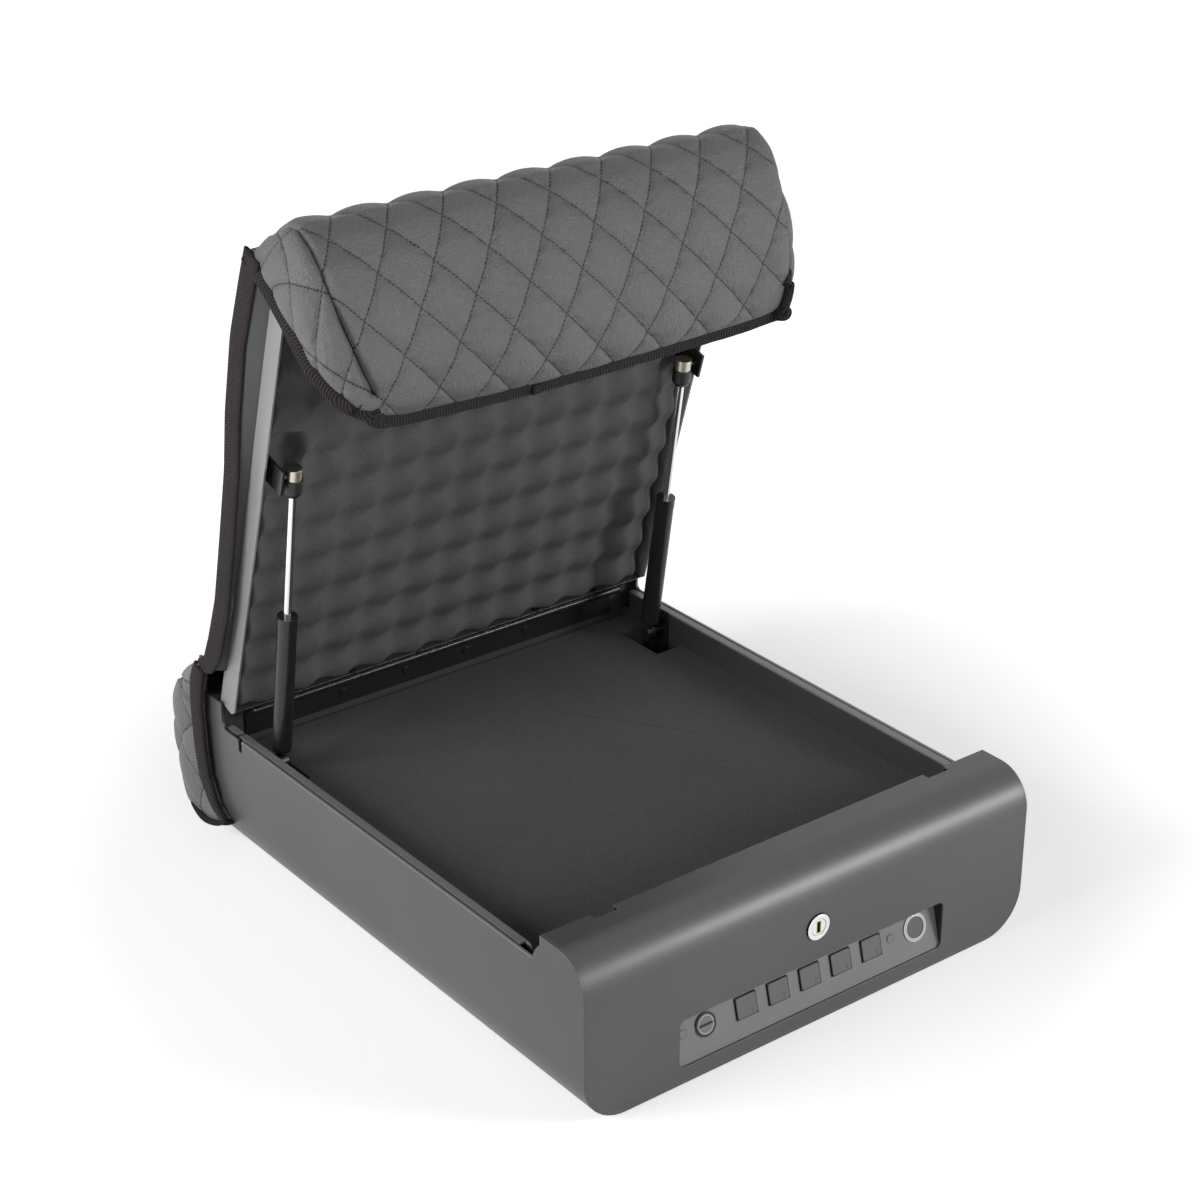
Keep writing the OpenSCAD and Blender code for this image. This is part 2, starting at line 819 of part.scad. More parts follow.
// Folded lid pan with mitred rear tips
module lid_pan() {
    color([0.55, 0.55, 0.56]) on_lid() difference() {
        box([-lid_half, -lid_front, lid_low], [lid_half, -lid_rear, lid_high]);
        box([-lid_half + lid_sheet, -lid_front + lid_sheet, lid_low - cut],
            [lid_half - lid_sheet, -lid_rear - lid_sheet, lid_under]);
        translate([0, -lid_rear, lid_low]) rotate([45, 0, 0])
            cube([body_width, 5, 5], center = true);
    }
}

foam_peak = lid_low + 1;
foam_cols = 2 * floor((lid_half - lid_sheet - 6) * 2 / bump_pitch);
foam_rows = 2 * floor((lid_front - lid_rear - 2 * lid_sheet - 2) / bump_pitch);
foam_half = lid_half - lid_sheet - 6.5;
foam_near = lid_rear + lid_sheet + 1;
foam_far = lid_front - lid_sheet - 1;

// Points and faces of a block whose lower face carries alternating bumps
function bump_here(i, j) = (i + j) % 2 == 0 && min(i, j, foam_rows - i, foam_cols - j) > 0;
function bump_point(i, j) = [
    -foam_half + 2 * foam_half * j / foam_cols,
    -foam_near - (foam_far - foam_near) * i / foam_rows,
    foam_peak + (bump_here(i, j) ? 0 : bump_height)];

module bumpy_block() {
    nc = foam_cols + 1;
    nr = foam_rows + 1;
    low = [for (i = [0:foam_rows], j = [0:foam_cols]) bump_point(i, j)];
    top = [[-foam_half, -foam_near, lid_under], [foam_half, -foam_near, lid_under],
        [foam_half, -foam_far, lid_under], [-foam_half, -foam_far, lid_under]];
    t = nc * nr;
    cells = [for (i = [0:foam_rows - 1], j = [0:foam_cols - 1], k = [0, 1])
        let (a = i * nc + j, b = a + 1, c = a + nc, d = c + 1)
        (i + j) % 2 == 0
            ? (k == 0 ? [a, d, b] : [a, c, d])
            : (k == 0 ? [a, c, b] : [b, c, d])];
    near = concat([t], [for (j = [0:foam_cols]) j], [t + 1]);
    far = concat([t + 2], [for (j = [foam_cols:-1:0]) foam_rows * nc + j], [t + 3]);
    left = concat([t + 3], [for (i = [foam_rows:-1:0]) i * nc], [t]);
    right = concat([t + 1], [for (i = [0:foam_rows]) i * nc + foam_cols], [t + 2]);
    polyhedron(concat(low, top), concat(cells, [near, far, left, right, [t, t + 1, t + 2, t + 3]]));
}

// Egg-crate foam in the lid, with a pocket at each strut bracket
module lid_foam() {
    color([0.24, 0.24, 0.25]) on_lid() difference() {
        bumpy_block();
        for (s = [-1, 1])
            box([s * (strut_x + 4) - 17, -stud_u - 24, foam_peak - 2],
                [s * (strut_x + 4) + 17, -stud_u + 24, lid_under + cut]);
    }
}

// Two striker hooks on the lid's front flange
module strikers() {
    color([0.66, 0.66, 0.67]) on_lid()
        for (s = [-1, 1]) translate([s * hook_offset, 0, 0]) difference() {
            union() {
                box([-8, -striker_y - 2.5, hook_z - hinge_z - 7], [8, -striker_y, 8]);
                box([-8, -striker_y - 1, 0], [8, -lid_front, 8]);
            }
            box([0, -striker_y - 3, hook_z - hinge_z - 4], [9, -striker_y + cut, hook_z - hinge_z + 4]);
        }
}

// Gas struts

socket_length = 16.5;
socket_radius = 7.2;

// Plastic cup under the lid ball, screwed on the rod
module strut_socket(side) {
    color([0.05, 0.05, 0.05]) on_strut(side) difference() {
        union() {
            translate([0, 0, -socket_length]) cylinder(r1 = 5.2, r2 = socket_radius, h = 3);
            translate([0, 0, 3 - socket_length]) cylinder(r = socket_radius, h = socket_length - 6);
        }
        sphere(r = ball_radius + running_fit);
        translate([0, 0, -socket_length - cut]) cylinder(r = rod_radius, h = socket_length - 9 + cut);
    }
}

module socket_left() {
    strut_socket(-1);
}

module socket_right() {
    strut_socket(1);
}

// Brass cap that holds the ball in the cup, with a hole for the stud
module strut_clip(side) {
    color([0.80, 0.72, 0.50]) on_strut(side) difference() {
        translate([0, 0, -3]) cylinder(r = socket_radius - 0.8, h = ball_radius + 4.2);
        sphere(r = ball_radius + running_fit);
        rod_x(0, 0, 0, socket_radius + cut, stud_radius + free_gap);
    }
}

module clip_left() {
    strut_clip(-1);
}

module clip_right() {
    strut_clip(1);
}

// Rod with its piston
module strut_rod(side) {
    color([0.85, 0.85, 0.86]) on_strut(side) {
        translate([0, 0, -piston_at - 6]) cylinder(r = rod_radius, h = piston_at + 6 - 9);
        translate([0, 0, -piston_at - 6]) cylinder(r = tube_radius - 1.2, h = 6);
    }
}

module rod_left() {
    strut_rod(-1);
}

module rod_right() {
    strut_rod(1);
}

// Pressure tube with its lower eye
module strut_tube(side) {
    color([0.07, 0.07, 0.07]) on_strut(side) {
        difference() {
            translate([0, 0, -strut_length + 12])
                cylinder(r = tube_radius, h = tube_length - collar_length - 12);
            translate([0, 0, -strut_length + 24])
                cylinder(r = tube_radius - 1.1, h = tube_length);
        }
        translate([0, 0, -strut_length]) cylinder(r = 3.4, h = 13);
        rod_x(0, -strut_length, -3.5, 3.5, 6);
    }
}

module tube_left() {
    strut_tube(-1);
}

module tube_right() {
    strut_tube(1);
}

// Collar that guides the rod
module strut_collar(side) {
    color([0.09, 0.09, 0.09]) on_strut(side) difference() {
        translate([0, 0, -collar_at - collar_length]) cylinder(r = tube_radius + 0.2, h = collar_length);
        translate([0, 0, -collar_at - collar_length - cut])
            cylinder(r = rod_radius + running_fit, h = collar_length + 2 * cut);
    }
}

module collar_left() {
    strut_collar(-1);
}

module collar_right() {
    strut_collar(1);
}

// Quilted cover

// Length along a path up to point k, and the point and direction at length s
function run(p, k) = k == 0 ? 0 : run(p, k - 1) + norm(p[k] - p[k - 1]);
function leg(p, s, k = 1) = (k == len(p) - 1 || run(p, k) >= s) ? k : leg(p, s, k + 1);
function at(p, s) = let (k = leg(p, s), a = p[k - 1], b = p[k])
    a + (b - a) * (s - run(p, k - 1)) / norm(b - a);
function left_of(d) = [-d[1], d[0]] / norm(d);
function side_way(p, s) = let (w = 9) left_of(at(p, min(s + w, run(p, len(p) - 1))) - at(p, max(s - w, 0)));

// Padding height: full on the diamonds, low on the seams, drawn in at the edges
function quilt(x, s, pitch) = abs(sin(180 * (x + s) / pitch) * sin(180 * (x - s) / pitch));
function edge_fade(d) = sqrt(min(1, max(0, d) / 20));
function pad_height(x, s, total, half, thick) =
    let (e = edge_fade(min(half - abs(x), s, total - s)),
        full = thick - quilt_depth * (1 - sqrt(quilt(x, s, quilt_pitch))))
    5 + (full - 5) * e;

// Size of the facets of the quilting
quilt_step = quilt_pitch / 3.7;

// Lengths along a path at which a panel has its rows, with one at every corner
function stops(p) = concat([0],
    [for (k = [1:len(p) - 1])
        let (span = norm(p[k] - p[k - 1]), parts = max(1, round(span / quilt_step)))
        for (i = [1:parts]) run(p, k - 1) + span * i / parts]);

// A quilted panel: the path is its back in the YZ plane, the padding is on the left of it
module quilted(path, half, thick) {
    total = run(path, len(path) - 1);
    stations = stops(path);
    rows = len(stations) - 1;
    cols = 2 * round(half / quilt_step);
    nc = cols + 1;
    skin = [for (i = [0:rows], j = [0:cols])
        let (s = stations[i], x = -half + 2 * half * j / cols,
            q = at(path, s) + side_way(path, s) * pad_height(x, s, total, half, thick))
        [x, q[0], q[1]]];
    back = [for (i = [0:rows], x = [-half, half])
        let (q = at(path, stations[i])) [x, q[0], q[1]]];
    t = nc * (rows + 1);
    skin_faces = [for (i = [0:rows - 1], j = [0:cols - 1], k = [0, 1])
        let (a = i * nc + j, b = a + 1, c = a + nc, d = c + 1)
        (i + j) % 2 == 0
            ? (k == 0 ? [a, d, b] : [a, c, d])
            : (k == 0 ? [a, c, b] : [b, c, d])];
    back_faces = [for (i = [0:rows - 1], k = [0, 1])
        let (a = t + 2 * i) k == 0 ? [a, a + 1, a + 2] : [a + 1, a + 3, a + 2]];
    left_faces = [for (i = [0:rows - 1], k = [0, 1])
        let (a = i * nc, b = t + 2 * i) k == 0 ? [a, b, a + nc] : [a + nc, b, b + 2]];
    right_faces = [for (i = [0:rows - 1], k = [0, 1])
        let (a = i * nc + cols, b = t + 2 * i + 1) k == 0 ? [a, a + nc, b] : [a + nc, b + 2, b]];
    first = concat([t], [for (j = [0:cols]) j], [t + 1]);
    last = concat([t + 2 * rows + 1], [for (j = [cols:-1:0]) rows * nc + j], [t + 2 * rows]);
    polyhedron(concat(skin, back),
        concat(skin_faces, back_faces, left_faces, right_faces, [first, last]));
}

// Padded panel on the lid
module lid_cover() {
    color([0.36, 0.36, 0.37]) on_lid() quilted(
        [[-pad_front, lid_high + free_gap], [-pad_rear, lid_high + free_gap]],
        cover_half, pad_thickness);
}

// Back of the hood, from the lid's front edge over the top and down to the hem,
// as distances ahead of and above the hood's own hinge line
hood_y = hinge_y - (lid_front - 1) * cos(open_angle) + (lid_high + 1) * sin(open_angle);
hood_z = hinge_z + (lid_front - 1) * sin(open_angle) + (lid_high + 1) * cos(open_angle);
hood_back = [[-58, -92], [-66, -80], [-68, -62], [-63, -32], [-52, 4], [-43, 20],
    [-37, 25], [-27, 25], [-15, 18], [-5, 9], [-0.6, -0.3]];
hood_side = [[14, 5], [-3, 13], [-15, 20], [-27, 27], [-37, 27], [-44, 22], [-54, 5],
    [-65, -32], [-70, -62], [-69, -80], [-61, -92], [-52, -92], [-46, -72], [-32, -52],
    [-14, -34], [4, -16]];
side_panel = 4;

// Front hood: a quilted panel with a plain panel at each side
module hood() {
    color([0.36, 0.36, 0.37]) translate([0, hood_y, hood_z]) {
        quilted(hood_back, cover_half, hood_thickness);
        for (s = [-1, 1]) translate([s * (cover_half - side_panel / 2), 0, 0])
            rotate([90, 0, 90]) linear_extrude(side_panel, center = true) polygon(hood_side);
    }
}

// Back of the rear apron, from the strip over the edge and down the rear panel
apron_low = 20;
apron_back = [[rear_y - 26, top_z + free_gap], [rear_y + free_gap, top_z + free_gap],
    [rear_y + free_gap, rim_height],
    [rear_y + free_gap, apron_low]];
apron_side = [[rear_y - 16, top_z + 3], [rear_y - 16, 94], [rear_y - 19, 50], [rear_y - 33, 32],
    [rear_y - 50, 24], [rear_y - 40, 19], [rear_y - 11, 17], [rear_y + 8, 20],
    [rear_y + 14, 60], [rear_y + 14, 100], [rear_y + 6, top_z + 4]];

// Rear apron: a quilted panel behind the body, with a plain return at each side
module apron() {
    color([0.36, 0.36, 0.37]) {
        quilted(apron_back, cover_half, apron_thickness);
        for (s = [-1, 1])
            translate([s * (half_width + free_gap + (cover_overhang - free_gap) / 2), 0, 0])
                rotate([90, 0, 90]) linear_extrude(cover_overhang - free_gap, center = true)
                    polygon(apron_side);
    }
}

body_shell();
front_cover();
bulkhead();
liner_left();
liner_right();
rear_rail();
rear_panel();
foam_block();
foam_mat();
panel_tray();
key_1();
key_2();
key_3();
key_4();
key_5();
power_cap();
indicators();
sensor_ring();
sensor_pad();
key_board();
power_socket();
control_board();
ribbon_cable();
battery_box();
battery_cells();
battery_door();
lock_housing();
lock_plug();
lock_nut();
lock_cam();
latch_bar();
latch_guides();
gear_motor();
motor_bracket();
motor_crank();
hinge_base_leaf();
hinge_lid_leaf();
hinge_pin();
strut_foot_left();
strut_foot_right();
lid_pan();
lid_foam();
lid_stud_left();
lid_stud_right();
strikers();
socket_left();
socket_right();
rod_left();
rod_right();
tube_left();
tube_right();
collar_left();
collar_right();
clip_left();
clip_right();
hinge_rivets_base();
hinge_rivets_lid();
lid_cover();
hood();
apron();
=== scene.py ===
import math
import bpy
import numpy as np
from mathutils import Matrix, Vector


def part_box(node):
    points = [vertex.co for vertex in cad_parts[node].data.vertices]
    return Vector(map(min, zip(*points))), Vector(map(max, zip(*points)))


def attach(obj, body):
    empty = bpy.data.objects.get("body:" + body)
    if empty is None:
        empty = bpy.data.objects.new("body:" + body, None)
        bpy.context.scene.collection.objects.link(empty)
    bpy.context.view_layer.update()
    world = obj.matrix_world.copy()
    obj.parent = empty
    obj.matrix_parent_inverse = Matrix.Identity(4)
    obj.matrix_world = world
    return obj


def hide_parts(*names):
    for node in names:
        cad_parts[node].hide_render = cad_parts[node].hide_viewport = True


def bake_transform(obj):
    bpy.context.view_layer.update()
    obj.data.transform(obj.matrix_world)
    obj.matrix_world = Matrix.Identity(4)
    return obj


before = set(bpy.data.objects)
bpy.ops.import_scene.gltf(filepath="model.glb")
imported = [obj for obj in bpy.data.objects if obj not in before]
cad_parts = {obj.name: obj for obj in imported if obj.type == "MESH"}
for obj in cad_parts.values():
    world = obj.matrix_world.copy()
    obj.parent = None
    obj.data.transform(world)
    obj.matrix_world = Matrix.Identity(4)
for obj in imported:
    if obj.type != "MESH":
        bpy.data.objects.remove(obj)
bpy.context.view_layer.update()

# The camera
# It stands in front of the left front corner, above the safe, and looks down
# on it. Its place comes from a fit to the corners of the steel body.
camera = bpy.data.objects.new("camera", bpy.data.cameras.new("camera"))
bpy.context.scene.collection.objects.link(camera)
camera.data.lens = 78.62
camera.data.sensor_width = 36
camera.location = (-1.0386, -1.3446, 1.0486)
camera.rotation_euler = (math.radians(90 - 25.721), math.radians(0.03), math.radians(-37.771))
bpy.context.scene.camera = camera
bpy.context.scene.view_settings.view_transform = "Standard"

# The floor and lights
# A white sweep under the safe, which only keeps its soft shadow, and three
# soft boxes in a pale room. To scattered light the room is dimmer, and its
# ceiling darker than its walls.


class Value:
    """The output of a node, which can be used in sums."""

    def __init__(self, nodes, socket):
        self.nodes = nodes
        self.socket = socket

    def sums(self, operation, *parts):
        return self.nodes.node("Math", dict(enumerate(parts)), operation=operation)

    def __add__(self, other):
        return self.sums("ADD", self, other)

    def __sub__(self, other):
        return self.sums("SUBTRACT", self, other)

    def __rsub__(self, other):
        return self.sums("SUBTRACT", other, self)

    def __mul__(self, other):
        return self.sums("MULTIPLY", self, other)

    def __truediv__(self, other):
        return self.sums("DIVIDE", self, other)

    def __rtruediv__(self, other):
        return self.sums("DIVIDE", other, self)

    def __pow__(self, other):
        return self.sums("POWER", self, other)

    def __lt__(self, other):
        return self.sums("LESS_THAN", self, other)

    def __gt__(self, other):
        return self.sums("GREATER_THAN", self, other)

    __radd__ = __add__
    __rmul__ = __mul__

    def of(self, operation, *parts):
        return self.sums(operation, self, *parts)


class Nodes:
    """A tree of nodes; node() makes each of them and gives one of its outputs."""

    def __init__(self, tree):
        self.tree = tree

    def node(self, kind, values=None, out=0, **settings):
        made = self.tree.nodes.new("ShaderNode" + kind)
        for name, value in settings.items():
            setattr(made, name, value)
        for name, value in (values or {}).items():
            if isinstance(value, Value):
                self.wire(value, made.inputs[name])
            else:
                made.inputs[name].default_value = value
        return Value(self, made.outputs[out])

    def wire(self, value, socket):
        self.tree.links.new(value.socket, socket)

    def apart(self, vector):
        """The x, y and z of a place."""
        return [self.node("SeparateXYZ", {0: vector}, out=axis) for axis in range(3)]

    def spread(self, value, low, high):
        return self.node("MapRange", {"Value": value, "From Min": low, "From Max": high})

    def seen(self):
        """1 for what the camera sees, straight, mirrored or through glass, and 0 for scattered light."""
        straight, mirrored, through = [self.node("LightPath", out="Is %s Ray" % kind)
                                       for kind in ("Camera", "Glossy", "Transmission")]
        return straight.of("MAXIMUM", mirrored).of("MAXIMUM", through)


class Finish(Nodes):
    """A material made of nodes round one shader."""

    def __init__(self, name, **constants):
        self.material = bpy.data.materials.new(name)
        self.material.use_nodes = True
        super().__init__(self.material.node_tree)
        self.shader = self.tree.nodes["Principled BSDF"]
        for socket, value in constants.items():
            self.shader.inputs[socket.replace("_", " ")].default_value = value

    def feed(self, **inputs):
        for socket, value in inputs.items():
            self.wire(value, self.shader.inputs[socket.replace("_", " ")])

    def place(self):
        return self.node("TexCoord", out="Object")

    def noise(self, scale, detail=2.0, rough=0.5, stretch=None):
        at = self.place()
        if stretch:
            at = self.node("Mapping", {"Vector": at, "Scale": stretch})
        return self.node("TexNoise", {"Vector": at, "Scale": scale, "Detail": detail,
                                      "Roughness": rough})

    def mix(self, factor, first, second):
        return self.node("Mix", {0: factor, 6: first, 7: second}, out=2, data_type="RGBA")

    def bump(self, height, depth, strength=1.0, edge=0.0):
        values = {"Height": height, "Distance": depth, "Strength": strength}
        if edge:
            values["Normal"] = self.node("Bevel", {"Radius": edge}, samples=4)
        return self.node("Bump", values)


def grey(level):
    """A neutral colour, from the level of an sRGB swatch in 0 to 255."""
    linear = (level / 255) ** 2.2
    return (linear, linear, linear * 1.01, 1)


def from_middle(first, second):
    """How far a place lies from the middle, from its distances along two sides."""
    return (first * first + second * second) ** 0.5


sweep_half, sweep_drop = 6, 0.0005
near_glow, far_glow = (0.46, 0.46, 0.46, 1), (0.85, 0.85, 0.85, 1)
glow_start, glow_end = 0.36, 0.70
floor_mesh = bpy.data.meshes.new("floor")
floor_mesh.from_pydata([(-sweep_half, -sweep_half, 0), (sweep_half, -sweep_half, 0),
                        (sweep_half, sweep_half, 0), (-sweep_half, sweep_half, 0)], [], [(0, 1, 2, 3)])
floor = bpy.data.objects.new("floor", floor_mesh)
floor.location.z = -sweep_drop
bpy.context.scene.collection.objects.link(floor)
paper = Finish("white_paper", Roughness=1.0, Base_Color=grey(240), Specular_IOR_Level=0.0)
across, along, _ = paper.apart(paper.place())
far_off = paper.spread(from_middle(across, along), glow_start, glow_end)
glow = paper.node("Emission", {"Color": paper.mix(far_off, near_glow, far_glow), "Strength": paper.seen()})
both = paper.node("AddShader", {0: Value(paper, paper.shader.outputs[0]), 1: glow})
paper.wire(both, paper.tree.nodes["Material Output"].inputs["Surface"])
floor_mesh.materials.append(paper.material)

wall_light, ceiling_light = 0.38, 0.08
wall_top, ceiling_start = 0.1, 0.8
world = bpy.data.worlds.new("room")
bpy.context.scene.world = world
world.use_nodes = True
room = Nodes(world.node_tree)
_, _, upward = room.apart(room.node("TexCoord", out="Generated"))
scattered = room.node("MapRange", {"Value": upward, "From Min": wall_top, "From Max": ceiling_start,
                                   "To Min": wall_light, "To Max": ceiling_light})
background = room.tree.nodes["Background"]
background.inputs["Color"].default_value = (1, 1, 1, 1)
room.wire(room.node("MapRange", {"Value": room.seen(), "To Min": scattered, "To Max": 1.0}),
          background.inputs["Strength"])

# Each soft box: its name, its place, where it looks, its side in metres and its watts.
soft_boxes = [
    ("key_light", (-2.05, 0.25, 0.9), (0, 0, 0.2), 1.2, 38),
    ("front_light", (-0.7, -2.3, 0.8), (0, 0, 0.15), 1.2, 7),
    ("edge_light", (1.38, -1.82, 0.78), (0, -0.2, 0.1), 0.7, 27),
]
for name, place, target, size, power in soft_boxes:
    lamp = bpy.data.lights.new(name, "AREA")
    lamp.shape = "SQUARE"
    lamp.size = size
    lamp.energy = power
    lit = bpy.data.objects.new(name, lamp)
    lit.location = place
    lit.rotation_euler = (Vector(target) - Vector(place)).to_track_quat("-Z", "Y").to_euler()
    bpy.context.scene.collection.objects.link(lit)

# The steel body
# Folded sheet with a dark grey satin powder coat. The coat has a very fine
# grain, and along the low side rims a pale grey is painted on the sheet's cut
# edge as a highlight.
wall_shoulder = 0.1034
cut_edge_low, cut_edge_high = 0.1043, 0.1056
edge_highlight_stretch = (-0.190, 0.1755)


def dress(finish, *nodes):
    for name in nodes:
        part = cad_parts[name]
        part.data.materials.clear()
        part.data.materials.append(finish.material)


def powder_coat(name, level, rough=0.38, edge=0.0009, lip_highlight_level=None, painted_inner_shade=None, rim=None):
    """Powder coat in a grey level; all above the walls' shoulder takes the lip's grey, a painted
    highlight.
    The inner shade holds half a breadth and the darker grey painted within it as shade, rim the stretch of
    the cut edge painted pale as a highlight."""
    coat = Finish(name, Metallic=0.0, IOR=1.66)
    cloud = coat.noise(7, 3)
    speck = coat.noise(1500, 2)
    tone = coat.spread(cloud * 0.8 + speck * 0.35, 0.35, 0.85)
    colour = coat.mix(tone, grey(level + 7), grey(level - 6))
    x, y, z = coat.apart(coat.place())
    # Painted highlight: the lip above the shoulder is made pale, for its lit top.
    if lip_highlight_level:
        colour = coat.mix(z > wall_shoulder, colour, grey(lip_highlight_level))
    # Painted highlight: a thin pale grey on the side rims' cut edge.
    if rim:
        wear_and_edge_highlight = (z > cut_edge_low) * (z < cut_edge_high) * (y > rim[0]) * (y < rim[1])
        colour = coat.mix(wear_and_edge_highlight, colour, grey(118))
    # Painted shade: within half a breadth the coat takes a darker grey.
    if painted_inner_shade:
        colour = coat.mix(x.of("ABSOLUTE") < painted_inner_shade[0], colour, grey(painted_inner_shade[1]))
    coat.feed(Base_Color=colour,
              Roughness=cloud * 0.10 + speck * 0.06 + (rough - 0.08),
              Normal=coat.bump(speck, 0.00012, 0.35, edge))
    return coat


body_coat = powder_coat("grey_powder_coat", 61, 0.42, rim=edge_highlight_stretch)
dress(body_coat, "body_shell", "front_cover", "rear_panel")
inner_coat = powder_coat("dark_powder_coat", 44, 0.5)
dress(inner_coat, "bulkhead", "rear_rail", "latch_guides", "motor_bracket")
# The liners' walls are painted darker as shade inside the body, and their lip pale as a highlight.
liner_coat_shade_and_highlight = powder_coat("liner_coat_painted_shade_and_highlight", 50, 0.45, 0.0005, 112)
dress(liner_coat_shade_and_highlight, "liner_left", "liner_right")

# The foam floor
# Dense open-cell foam: a block below and a thinner mat on top of it, cut by
# knife, with a well at each strut. Matt, with fine pores and one stray cut.
stray_slope, stray_start, stray_half = 0.7, 0.115, 0.0006
stray_middle, stray_reach = 0.05, 0.05


def foam(name, level, pore=1100, cut=True):
    sponge = Finish(name, Roughness=0.95, Specular_IOR_Level=0.15)
    cloud = sponge.noise(11, 4)
    pores = sponge.node("TexVoronoi", {"Vector": sponge.place(), "Scale": pore})
    fine = sponge.noise(2600, 2)
    tone = sponge.spread(pores * 0.6 + fine * 0.5 + cloud * 0.3, 0.25, 1.0)
    colour = sponge.mix(tone, grey(level + 12), grey(level - 14))
    if cut:
        x, y, _ = sponge.apart(sponge.place())
        on_line = (x + y * stray_slope - stray_start).of("ABSOLUTE") < stray_half
        stray = on_line * ((y - stray_middle).of("ABSOLUTE") < stray_reach)
        colour = sponge.mix(stray * 0.7, colour, grey(level - 26))
    sponge.feed(Base_Color=colour, Normal=sponge.bump(pores + fine * 0.5, 0.0005, 0.5))
    return sponge


floor_foam = foam("grey_foam", 92)
dress(floor_foam, "foam_block", "foam_mat")

# The control panel
# A moulded tray that leans back in its window, in fine matt grey plastic.
# Tray, caps, lights and sensor all sit on its sloping face.
panel_width, panel_lean = 0.241, math.radians(14.7)
panel_y, panel_z = -0.2385, 0.032
row_up, key_pitch = 0.002, 0.0287
recess_start, recess_out = 0.1190, 0.0004


def on_panel(across, up, out):
    """A place on the sloping panel: across it, up it from its middle, and out of its face."""
    return (across,
            panel_y - out * math.cos(panel_lean) + up * math.sin(panel_lean),
            panel_z + out * math.sin(panel_lean) + up * math.cos(panel_lean))


def panel_place(finish):
    """Across, up from the row of keys, and out of the panel's face."""
    x, y, z = finish.apart(finish.place())
    up = (y - panel_y) * math.sin(panel_lean) + (z - panel_z) * math.cos(panel_lean) - row_up
    out = (z - panel_z) * math.sin(panel_lean) - (y - panel_y) * math.cos(panel_lean)
    return x, up, out


def plastic(name, level, rough=0.45, grain=900, depth=0.00008, marks=None):
    """Moulded plastic; marks gives what is darker or paler, from the finish and its plain colour."""
    mould = Finish(name)
    cloud = mould.noise(30, 2)
    speck = mould.noise(grain, 2)
    colour = mould.mix(cloud, grey(level + 5), grey(level - 5))
    if marks:
        colour = marks(mould, colour)
    mould.feed(Base_Color=colour,
               Roughness=speck * 0.1 + (rough - 0.05),
               Normal=mould.bump(speck, depth, 0.4, 0.0005))
    return mould


def recess_marks(mould, colour):
    x, _, out = panel_place(mould)
    return mould.mix((x > recess_start) * (out > recess_out), colour, grey(20))


panel_plastic = plastic("grey_plastic", 118, 0.42, marks=recess_marks)
dress(panel_plastic, "panel_tray")

# The keys
# Five square caps moulded in grey plastic, with rounded corners, each with a
# small faint number at its lower right corner. Their sides are painted near
# black as the shade round each cap, and a darker band runs round each face.
key_half_wide, key_half_high, key_corner = 0.0066, 0.0056, 0.0019
key_rim, key_face_out = 0.0014, 0.0012


def key_shade_marks(mould, colour):
    x, up, out = panel_place(mould)
    side = ((x / key_pitch) - (x / key_pitch).of("ROUND")).of("ABSOLUTE") * key_pitch
    past_side = (side - key_half_wide).of("MAXIMUM", 0.0)
    past_top = (up.of("ABSOLUTE") - key_half_high).of("MAXIMUM", 0.0)
    from_corner = from_middle(past_side, past_top)
    # Painted shade: the caps' sides, outside their faces, are near black.
    face = (from_corner < key_corner) * (out > key_face_out)
    rim = (from_corner > key_rim) * 0.35
    return mould.mix(face, grey(17), mould.mix(rim, colour, grey(70)))


key_plastic = plastic("key_plastic", 96, 0.34, marks=key_shade_marks)
dress(key_plastic, *["key_%d" % n for n in range(1, 6)])


def add_piece(name, points, faces, finish):
    mesh = bpy.data.meshes.new(name)
    mesh.from_pydata([tuple(p) for p in points], [], faces)
    mesh.materials.append(finish.material)
    mesh.polygons.foreach_set("use_smooth", [True] * len(mesh.polygons))
    mesh.update()
    made = bpy.data.objects.new(name, mesh)
    bpy.context.scene.collection.objects.link(made)
    return made


def lay_cloth(piece, spots):
    """Gives a piece the map that its cloth finish reads, from two numbers for each of its points."""
    layer = piece.data.uv_layers.new(name="cloth")
    corners = np.zeros(len(piece.data.loops), int)
    piece.data.loops.foreach_get("vertex_index", corners)
    layer.data.foreach_set("uv", spots[corners].ravel())


def length_along(points):
    """How far each point of a run lies along it from the first."""
    return np.concatenate([[0], np.cumsum(np.linalg.norm(np.diff(points, axis=0), axis=1))])


def tape_along(name, centres, width, thick, face, finish, sides=16):
    """A flat, rounded tape along a run of points; face is the way its broad side looks."""
    centres = np.array(centres, float)
    way = np.gradient(centres, axis=0)
    way /= np.linalg.norm(way, axis=1, keepdims=True)
    out = np.array(face, float) * np.ones_like(centres)
    out -= (out * way).sum(1, keepdims=True) * way
    out /= np.linalg.norm(out, axis=1, keepdims=True)
    aside = np.cross(way, out)
    width = np.ones(len(centres)) * width
    turns = np.linspace(0, 2 * math.pi, sides + 1)[:-1]
    ring = [(math.copysign(abs(math.cos(a)) ** 0.6, math.cos(a)) / 2,
             math.copysign(abs(math.sin(a)) ** 0.8, math.sin(a)) * thick / 2) for a in turns]
    count = len(centres)
    points = np.concatenate([centres[i] + aside[i] * w * width[i] + out[i] * h
                             for i in range(count) for w, h in ring]).reshape(-1, 3)
    faces = []
    for i in range(count - 1):
        for k in range(sides):
            a, b = i * sides + k, i * sides + (k + 1) % sides
            faces.append((a, b, b + sides, a + sides))
    faces.append(tuple(range(sides))[::-1])
    faces.append(tuple(range((count - 1) * sides, count * sides)))
    made = add_piece(name, points, faces, finish)
    order = np.arange(count * sides)
    lay_cloth(made, np.stack([length_along(centres)[order // sides], (order % sides) / sides], 1))
    return made


